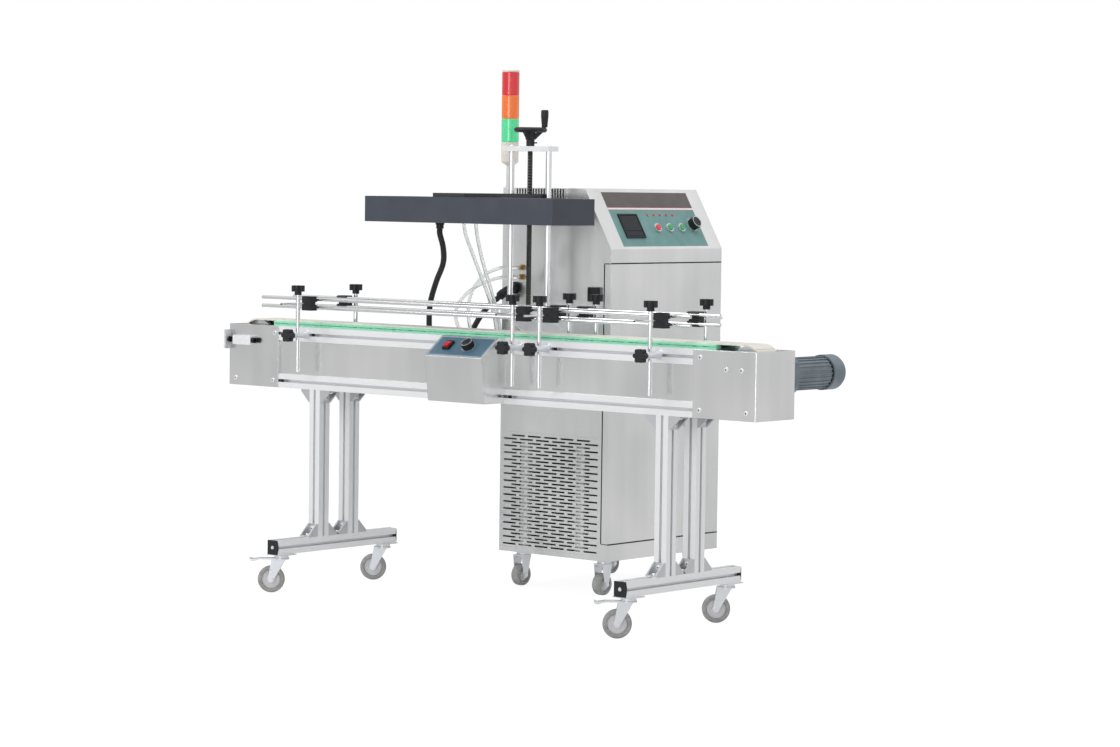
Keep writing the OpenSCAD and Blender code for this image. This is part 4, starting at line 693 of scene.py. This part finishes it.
def panel_loop(inset):
    """The speed panel's outline, drawn in by a given width."""
    return box_loop(inset - PANEL_HALF, inset - SPEED_HALF, PANEL_HALF - inset, SPEED_HALF - inset)


rocker_hole = box_loop(ROCKER_X - ROCKER_HALF[0] - CLEAR, -ROCKER_HALF[1] - CLEAR,
                       ROCKER_X + ROCKER_HALF[0] + CLEAR, ROCKER_HALF[1] + CLEAR)
film = skin_of("speed_film", panel_loop(EDGE), [rocker_hole, ring_loop(DIAL_X, 0, DIAL_HOLE_R)], FILM_T,
               on_speed, blue_film)
for i, inset in enumerate(BORDERS):
    line_print = skin_of("speed_border_%d" % (i + 1), panel_loop(inset), [panel_loop(inset + BORDER_W)],
                         INK_T, lambda x, y, h: on_speed(x, y, h + FILM_T), white_ink)
ticks, given = node_group("scale_ticks", "Length", "Width", "Thick", "Finish")
size = node(ticks, "ShaderNodeCombineXYZ", {0: given.outputs["Length"], 1: given.outputs["Width"],
            2: given.outputs["Thick"]})
close_group(ticks, given, node(ticks, "GeometryNodeMeshCube", {"Size": size.outputs[0]}))


def dial_scale(name, at, x, y, radius, lift):
    """White ticks round a dial on a panel."""
    across, up, out = ((at(*p) - at(0, 0, 0)).normalized() for p in ((1, 0, 0), (0, 1, 0), (0, 0, 1)))
    spots = []
    for i in range(TICKS):
        a = math.radians(90 + SWEEP - 2 * SWEEP * i / (TICKS - 1))
        ray = across * math.cos(a) + up * math.sin(a)
        turn = Matrix((ray, out.cross(ray), out)).transposed().to_quaternion()
        spots.append((at(x + radius * math.cos(a), y + radius * math.sin(a), lift), turn))
    long, wide, thick = (size * MM for size in TICK_SIZE)
    made = set_out(name, ticks, spots, length=long, width=wide, thick=thick, finish=white_ink)
    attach(made, "machine")


dial_scale("speed_scale", on_speed, DIAL_X, 0, SCALE_R, FILM_T)
# Clear red plastic: a deep signal red under a glossy skin
red_pc = surface("clear_red_plastic", "#e0252d", 0.2, (5, (0.14, 0.28)), coat=0.5)
dress("rocker", red_pc)
dress("speed_dial", black_pa)
# Silvered plastic: pale metal with a soft, slightly uneven shine
silver = surface("silvered_plastic_ring", "#dfe0e2", 0.25, (3, (0.18, 0.34)), metallic=0.7)
rim = skin_of("speed_dial_rim", ring_loop(DIAL_X, 0, SPEED_DIAL_R - RIM_IN[0]),
              [ring_loop(DIAL_X, 0, SPEED_DIAL_R - RIM_IN[1])], RIM_T,
              lambda x, y, h: on_speed(x, y, h + SPEED_DIAL_TOP), silver, "speed_dial")
seat = skin_of("speed_dial_seat", ring_loop(DIAL_X, 0, SPEED_DIAL_R + SEAT_OUT),
               [ring_loop(DIAL_X, 0, DIAL_HOLE_R + CLEAR)], SEAT_T,
               lambda x, y, h: on_speed(x, y, h + FILM_T), silver)

# Cabinet: stainless sheet, folded and spot-welded, on casters, with a hinged door in its right side.
# A slotted grille is screwed in the front below, and upright vents are cut above.
CAB_X, CAB_Y, CAB_HALF = -91 * MM, LINE_Y + 360 * MM, 200
# Cabinet stainless: a lit copy of the sheet steel, the same upright streaks made paler and softer with less
# metal, as painted light
lit_stainless = stainless.copy()
lit_stainless.name = "fine_ground_stainless_sheet"
# Painted light: less metal gives more diffuse light, so the cabinet reads paler than the conveyor's sheet
lit_stainless.node_tree.nodes["Principled BSDF"].inputs["Metallic"].default_value = 0.75
for name in ("cabinet_shell", "door", "grille_panel"):
    dress(name, lit_stainless)

# Door gap lines: thin black strips laid on the cabinet above and below the door and on the front beside it,
# as painted shade for the dark of the gaps round the door. Each stays clear of the door's edge.
SHADE_CLEAR, SHADE_W, SHADE_T, SHADE_OFF, FLANGE_W, PIN_OUT = 0.2, 3.2, 0.3, 0.02, 22, 13
# Gap shade: painted shade, a soft matt black that swallows the light
gap_shade = surface("black_sponge_rubber", "#1b1c1d", 0.75, (1.5, (0.65, 0.85), 0.05))
door_low, door_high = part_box("door")
door_z = door_low.z / MM + PIN_OUT, door_high.z / MM - PIN_OUT
door_y = (door_low.y - CAB_Y) / MM, (door_high.y - CAB_Y) / MM
edge_x = CAB_HALF - FLANGE_W


def on_side(y, z, h):
    """A place on the cabinet's right side, from its front and the floor, and off it."""
    return Vector((CAB_X + (CAB_HALF + SHADE_OFF + h) * MM, CAB_Y + y * MM, z * MM))


def on_front(x, z, h):
    """A place on the cabinet's front, from its middle and the floor, and off it."""
    return Vector((CAB_X + x * MM, CAB_Y - (SHADE_OFF + h) * MM, z * MM))


above_door, under_door, beside_door = door_z[1] + SHADE_CLEAR, door_z[0] - SHADE_CLEAR, edge_x - SHADE_CLEAR
# Painted shade: a thin dark strip along each gap round the door
for name, at, loop in (
        ("door_lip_top", on_side, box_loop(door_y[0], above_door, door_y[1], above_door + SHADE_W)),
        ("door_lip_bottom", on_side, box_loop(door_y[0], under_door - SHADE_W, door_y[1], under_door)),
        ("door_lip_front", on_front, box_loop(beside_door - SHADE_W, under_door, beside_door, above_door))):
    gap_line = skin_of(name, loop, [], SHADE_T, at, gap_shade)

# Vents: upright slots punched in the cabinet's front, as far up as the roof's fold.
# Thin black strips laid on the front over their upper ends are painted shade for the dark inside the openings.
VENT_X, VENT_PITCH, VENTS, VENT_W, VENT_Z, VENT_SHADE_T = -147.5, 10, 18, 5, (1117, 1133), 0.3
# Vent shade: painted shade, the matt near-black of an opening into the dark
vent_shade_finish = surface("black_vent_gauze", "#131415", 0.8, (1.5, (0.7, 0.9)))
upright = Matrix(((0, -1, 0), (0, 0, -1), (1, 0, 0))).to_quaternion()
# Painted shade: one dark strip on each vent
vent_ends = set_out("vent_gauze", ticks, [(on_front(VENT_X + VENT_PITCH * i, sum(VENT_Z) / 2, 0), upright)
                    for i in range(VENTS)], length=(VENT_Z[1] - VENT_Z[0]) * MM, width=VENT_W * MM,
                    thick=VENT_SHADE_T * MM, finish=vent_shade_finish)
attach(vent_ends, "machine")

# Inside the cabinet: the power unit in its cast alloy case and a moulded coolant tank stand on the shelves.
# A finned radiator hangs behind the grille on brackets, with a moulded fan behind it; the fins are black as
# painted shade and the brackets white as painted light, seen through the slots.
BRACKET_X, BRACKET_HALF, BRACKET_BACK = (-116, 86), 15.1, 24
dress("power_unit", die_cast)
dress("coolant_tank", pale_pa)
# Fin shade: painted shade, a dull black on the fins so the grille's slots look dark
fin_shade = surface("black_dipped_fin", "#232528", 0.5, (3, (0.4, 0.6)))
# Bracket light: painted light, a flat warm white so the brackets show pale through the slots
bracket_light = surface("white_primed_steel", "#f4f4f2", 0.5, (4, (0.42, 0.58)))
# Painted shade on the fins and painted light on the brackets
dress("radiator", fin_shade, bracket_light, pick=lambda c, n: int(
    (c.y - CAB_Y) / MM < BRACKET_BACK and min(abs((c.x - CAB_X) / MM - x) for x in BRACKET_X) < BRACKET_HALF))
dress("fan_rotor", black_pa)

# Console: printed films stuck on the folded slope, round a display, five lamps, three buttons and a dial.
# The fittings are moulded plastic with silvered rings, clipped into holes in the sheet.
SLOPE_Z, SLOPE_A = 968, math.radians(30.15)
FILM_Y, FILM_V, LINES_V, CONSOLE_FILM_T = (60, 443), (8.5, 182), (125, 126.5, 132, 133.5), 0.25
BUTTONS, BUTTON_V, BEZEL_R = (243, 298, 352), 67, 13.2
LAMPS, LAMP_V, LAMP_R = (223, 252, 280, 309, 337), 109, 3.7
DIAL_Y, DIAL_V, DIAL_SEAT_R, POWER_SCALE_R, POWER_SCALE_UP = 409, 77, 19.7, 23.6, 0.3
POWER_DIAL_R, POWER_DIAL_TOP = 18, 21.4
SCREEN_AT, SCREEN_HALF, PANE_Y, PANES_V = (131, 73), (42, 38), (95, 167), ((58, 105), (41, 55))
PANE_T, SCREEN_TOP = 1.2, 2.02
UNION_X, UNION_HALF, UNION_Z, SCREEN_END, LAMP_ROW = -217, 12, (870, 925), 180, 100


def on_slope(y, v, h):
    """A place on the console: distance from the cabinet's front, up the slope, and off it."""
    return Vector((CAB_X + (CAB_HALF + h * math.cos(SLOPE_A) - v * math.sin(SLOPE_A)) * MM, CAB_Y + y * MM,
                   (SLOPE_Z + h * math.sin(SLOPE_A) + v * math.cos(SLOPE_A)) * MM))


# Printed taupe film: brown-grey polyester, satin, with a fine embossed texture drawn coarse
taupe = surface("printed_taupe_film", "#575250", 0.36, (1.2, (0.30, 0.44), 0.02), (40, "#534e4c", "#5d5856"))
# Printed teal film: the same film in a greyed sea green
teal = surface("printed_teal_film", "#699593", 0.36, (1.2, (0.30, 0.44), 0.02), (40, "#638f8e", "#709d9a"))
# Red screen ink: a flat rose red in thin lines
red_ink = surface("red_screen_ink", "#c23a48", 0.5, (1, (0.42, 0.6)))
holes = [ring_loop(y, BUTTON_V, BEZEL_R) for y in BUTTONS] + [ring_loop(y, LAMP_V, LAMP_R, 20) for y in LAMPS]
holes += [ring_loop(DIAL_Y, DIAL_V, DIAL_SEAT_R),
          box_loop(SCREEN_AT[0] - SCREEN_HALF[0] - CLEAR, SCREEN_AT[1] - SCREEN_HALF[1] - CLEAR,
                   SCREEN_AT[0] + SCREEN_HALF[0] + CLEAR, SCREEN_AT[1] + SCREEN_HALF[1] + CLEAR)]
for name, v0, v1, cut, look in (("console_film", FILM_V[0], LINES_V[0], holes, teal),
                                ("console_red_line_1", LINES_V[0], LINES_V[1], [], red_ink),
                                ("console_white_line", LINES_V[1], LINES_V[2], [], white_ink),
                                ("console_red_line_2", LINES_V[2], LINES_V[3], [], red_ink),
                                ("console_header", LINES_V[3], FILM_V[1], [], taupe)):
    film = skin_of(name, box_loop(FILM_Y[0], v0, FILM_Y[1], v1), cut, CONSOLE_FILM_T, on_slope, look)
dial_scale("power_scale", on_slope, DIAL_Y, DIAL_V, POWER_SCALE_R, POWER_SCALE_UP)
# Smoked window: blue-black plastic, glossy, with a dim reflection
smoked = surface("smoked_display_window", "#1d2129", 0.12, (8, (0.08, 0.18)), specular=0.25)
for name, (v0, v1) in zip(("display_window", "display_keys"), PANES_V):
    pane = skin_of(name, box_loop(PANE_Y[0], v0, PANE_Y[1], v1), [], PANE_T,
                   lambda y, v, h: on_slope(y, v, h + SCREEN_TOP), smoked)
# Turned brass: warm yellow metal with a soft bright line round each union
brass = surface("turned_brass", "#c0a062", 0.28, (2, (0.2, 0.36)), metallic=1.0)


def fitting_part(c, n):
    """0 black plastic, 1 silver rings, 2 lamp lenses, 3 brass unions."""
    if c.y < CAB_Y + HAIR * MM:
        return 3 if abs(c.x / MM - UNION_X) < UNION_HALF and UNION_Z[0] < c.z / MM < UNION_Z[1] else 0
    if (c.y - CAB_Y) / MM < SCREEN_END:
        return 0
    up_slope = (c - on_slope(0, 0, 0)).dot(on_slope(0, 1, 0) - on_slope(0, 0, 0)) / MM ** 2
    return 2 if up_slope > LAMP_ROW else 1


dress("cabinet_fittings", black_pa, silver, red_pc, brass, pick=fitting_part)
# Clear green plastic: a deep signal green under a glossy skin
green_pc = surface("clear_green_plastic", "#1fa05c", 0.2, (5, (0.14, 0.28)), coat=0.5)
dress("red_button", red_pc)
dress("green_button_1", green_pc)
dress("green_button_2", green_pc)
dress("power_dial", black_pa)
rim = skin_of("power_dial_rim", ring_loop(DIAL_Y, DIAL_V, POWER_DIAL_R - RIM_IN[0]),
              [ring_loop(DIAL_Y, DIAL_V, POWER_DIAL_R - RIM_IN[1])], RIM_T,
              lambda y, v, h: on_slope(y, v, h + POWER_DIAL_TOP), silver, "power_dial")

# Lift: two ground and chromed columns, held by screws between aluminium plates on the cabinet's wall.
# A lead screw with a black moulded handwheel hangs in the top plate and winds the head up and down.
COLUMN_R, COLUMN_Z, COLUMN_OUT, ROUND_HAIR, PLATE_T, PITCH_MM = 8, (806, 1236), 68, 0.6, 14, 4.0
lift_low, lift_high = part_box("lift_frame")
LIFT_X, LIFT_Y = (lift_low.x + lift_high.x) / 2, LINE_Y + 264 * MM
dress("lift_frame", anodised, chrome, pick=lambda c, n: int(
    COLUMN_Z[0] - HAIR < c.z / MM < COLUMN_Z[1] + HAIR and abs(n.z) < 0.5
    and abs(math.hypot(abs(c.x - LIFT_X) / MM - COLUMN_OUT, (c.y - LIFT_Y) / MM) - COLUMN_R) < ROUND_HAIR))
spots = [(Vector((LIFT_X + s * COLUMN_OUT * MM, LIFT_Y, lift_high.z)), facing(0, 0, 1)) for s in (-1, 1)]
caps = set_out("column_screws", screws, spots, head_radius=6.5 * MM, head_height=4 * MM, finish=bright,
               recess_finish=shadow)
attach(caps, "machine")

# Oiled thread: dark grey steel with a wet shine; its ridges climb once for each pitch
thread, tree, shader, place = finish("oiled_lead_screw", "#4e4d4b", 0.34, metallic=0.8)
own = node(tree, "ShaderNodeMapping", {"Vector": place, "Location": (-LIFT_X, -LIFT_Y, 0)})
turn_of = node(tree, "ShaderNodeTexGradient", {"Vector": own.outputs[0]}, gradient_type="RADIAL")
tall = node(tree, "ShaderNodeSeparateXYZ", {0: place})
climb = node(tree, "ShaderNodeMath", {0: tall.outputs[2], 1: 1 / (PITCH_MM * MM)}, operation="MULTIPLY")
spiral = node(tree, "ShaderNodeMath", {0: climb.outputs[0], 1: turn_of.outputs["Fac"]}, operation="ADD")
ridge = node(tree, "ShaderNodeMath", {0: spiral.outputs[0], 1: 1.0}, operation="PINGPONG")
emboss(tree, shader, ridge.outputs[0], 1.5)
dress("lead_screw", thread, black_pa, pick=lambda c, n: int(c.z / MM > COLUMN_Z[1] + PLATE_T))
dress("hand_grip", black_pa)

# Sealing head: a cover folded from sheet and powder-coated, bolted under the arm plate of the lift's carriage.
# A cast carrier with the coil closes it below, and brass unions at its back take the hoses.
HEAD_BACK, HEAD_LOW = 86, 1037
# Slate powder coat: blue-grey, satin, with a fine pebbled skin drawn coarse enough to show
slate = surface("slate_powder_coat", "#383e4a", 0.46, (1.6, (0.38, 0.54), 0.05), (60, "#353b47", "#3c424e"))
# Dark coated plate: charcoal, satin, flat
dark_plate = surface("dark_coated_plate", "#2d3036", 0.42, (1.6, (0.36, 0.5), 0.05))
# Coil resin: dark grey, dull, with cloudy patches where it was poured
resin = surface("cast_coil_resin", "#3a3d42", 0.5, (6, (0.4, 0.58)))
dress("head_housing", slate, brass, pick=lambda c, n: int((c.y - LINE_Y) / MM > HEAD_BACK + HAIR))
dress("head_base", resin, black_pa, pick=lambda c, n: int(c.z / MM < HEAD_LOW - HAIR))
dress("lift_arm", dark_plate)

# Signal tower: three moulded lenses with fine upright ribs, stacked on a cream base under a cream cap.
# A plated pole on a screwed foot carries it on the cabinet's roof.
RIBS, POLE_TOP, LENS_Z = 48, 1196.9, (1263, 1329, 1395, 1461)
tower_low, tower_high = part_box("tower_light")
tower_x, tower_y = (tower_low.x + tower_high.x) / 2, (tower_low.y + tower_high.y) / 2
# Cream plastic: warm off-white, half matt
cream = surface("moulded_cream_plastic", "#e9e2d8", 0.4, (3, (0.32, 0.5)))
# Lenses: clear signal colours with a faint glow from emission, painted light, and one upright light where the
# skin is round
lenses = []
for name, colour, painted_glow in (("green_lens", "#50e49c", 0.06), ("amber_lens", "#fc7612", 0.05),
                           ("red_lens", "#de1220", 0.04)):
    lens, tree, shader, place = finish(name, colour, 0.18)
    shader.inputs["Coat Weight"].default_value = 0.8
    shader.inputs["Coat Roughness"].default_value = 0.1
    speckle(tree, shader, place, 10, (0.12, 0.24))
    own = node(tree, "ShaderNodeMapping", {"Vector": place, "Location": (-tower_x, -tower_y, 0)})
    sweep_of = node(tree, "ShaderNodeTexGradient", {"Vector": own.outputs[0]}, gradient_type="RADIAL")
    round_of = node(tree, "ShaderNodeMath", {0: sweep_of.outputs["Fac"], 1: 2 * math.pi * RIBS},
                    operation="MULTIPLY")
    rib = node(tree, "ShaderNodeMath", {0: round_of.outputs[0]}, operation="SINE")
    emboss(tree, shader, rib.outputs[0], 0.3, strength=0.2)
    # Painted light: a faint emission in the lens colour makes each lens glow
    shader.inputs["Emission Color"].default_value = linear(colour)
    shader.inputs["Emission Strength"].default_value = painted_glow
    lenses.append(lens)
dress("tower_light", cream, zinc, *lenses, pick=lambda c, n: 1 if c.z / MM < POLE_TOP else
      0 if not LENS_Z[0] < c.z / MM < LENS_Z[3] else 2 + sum(c.z / MM > z for z in LENS_Z[1:3]))
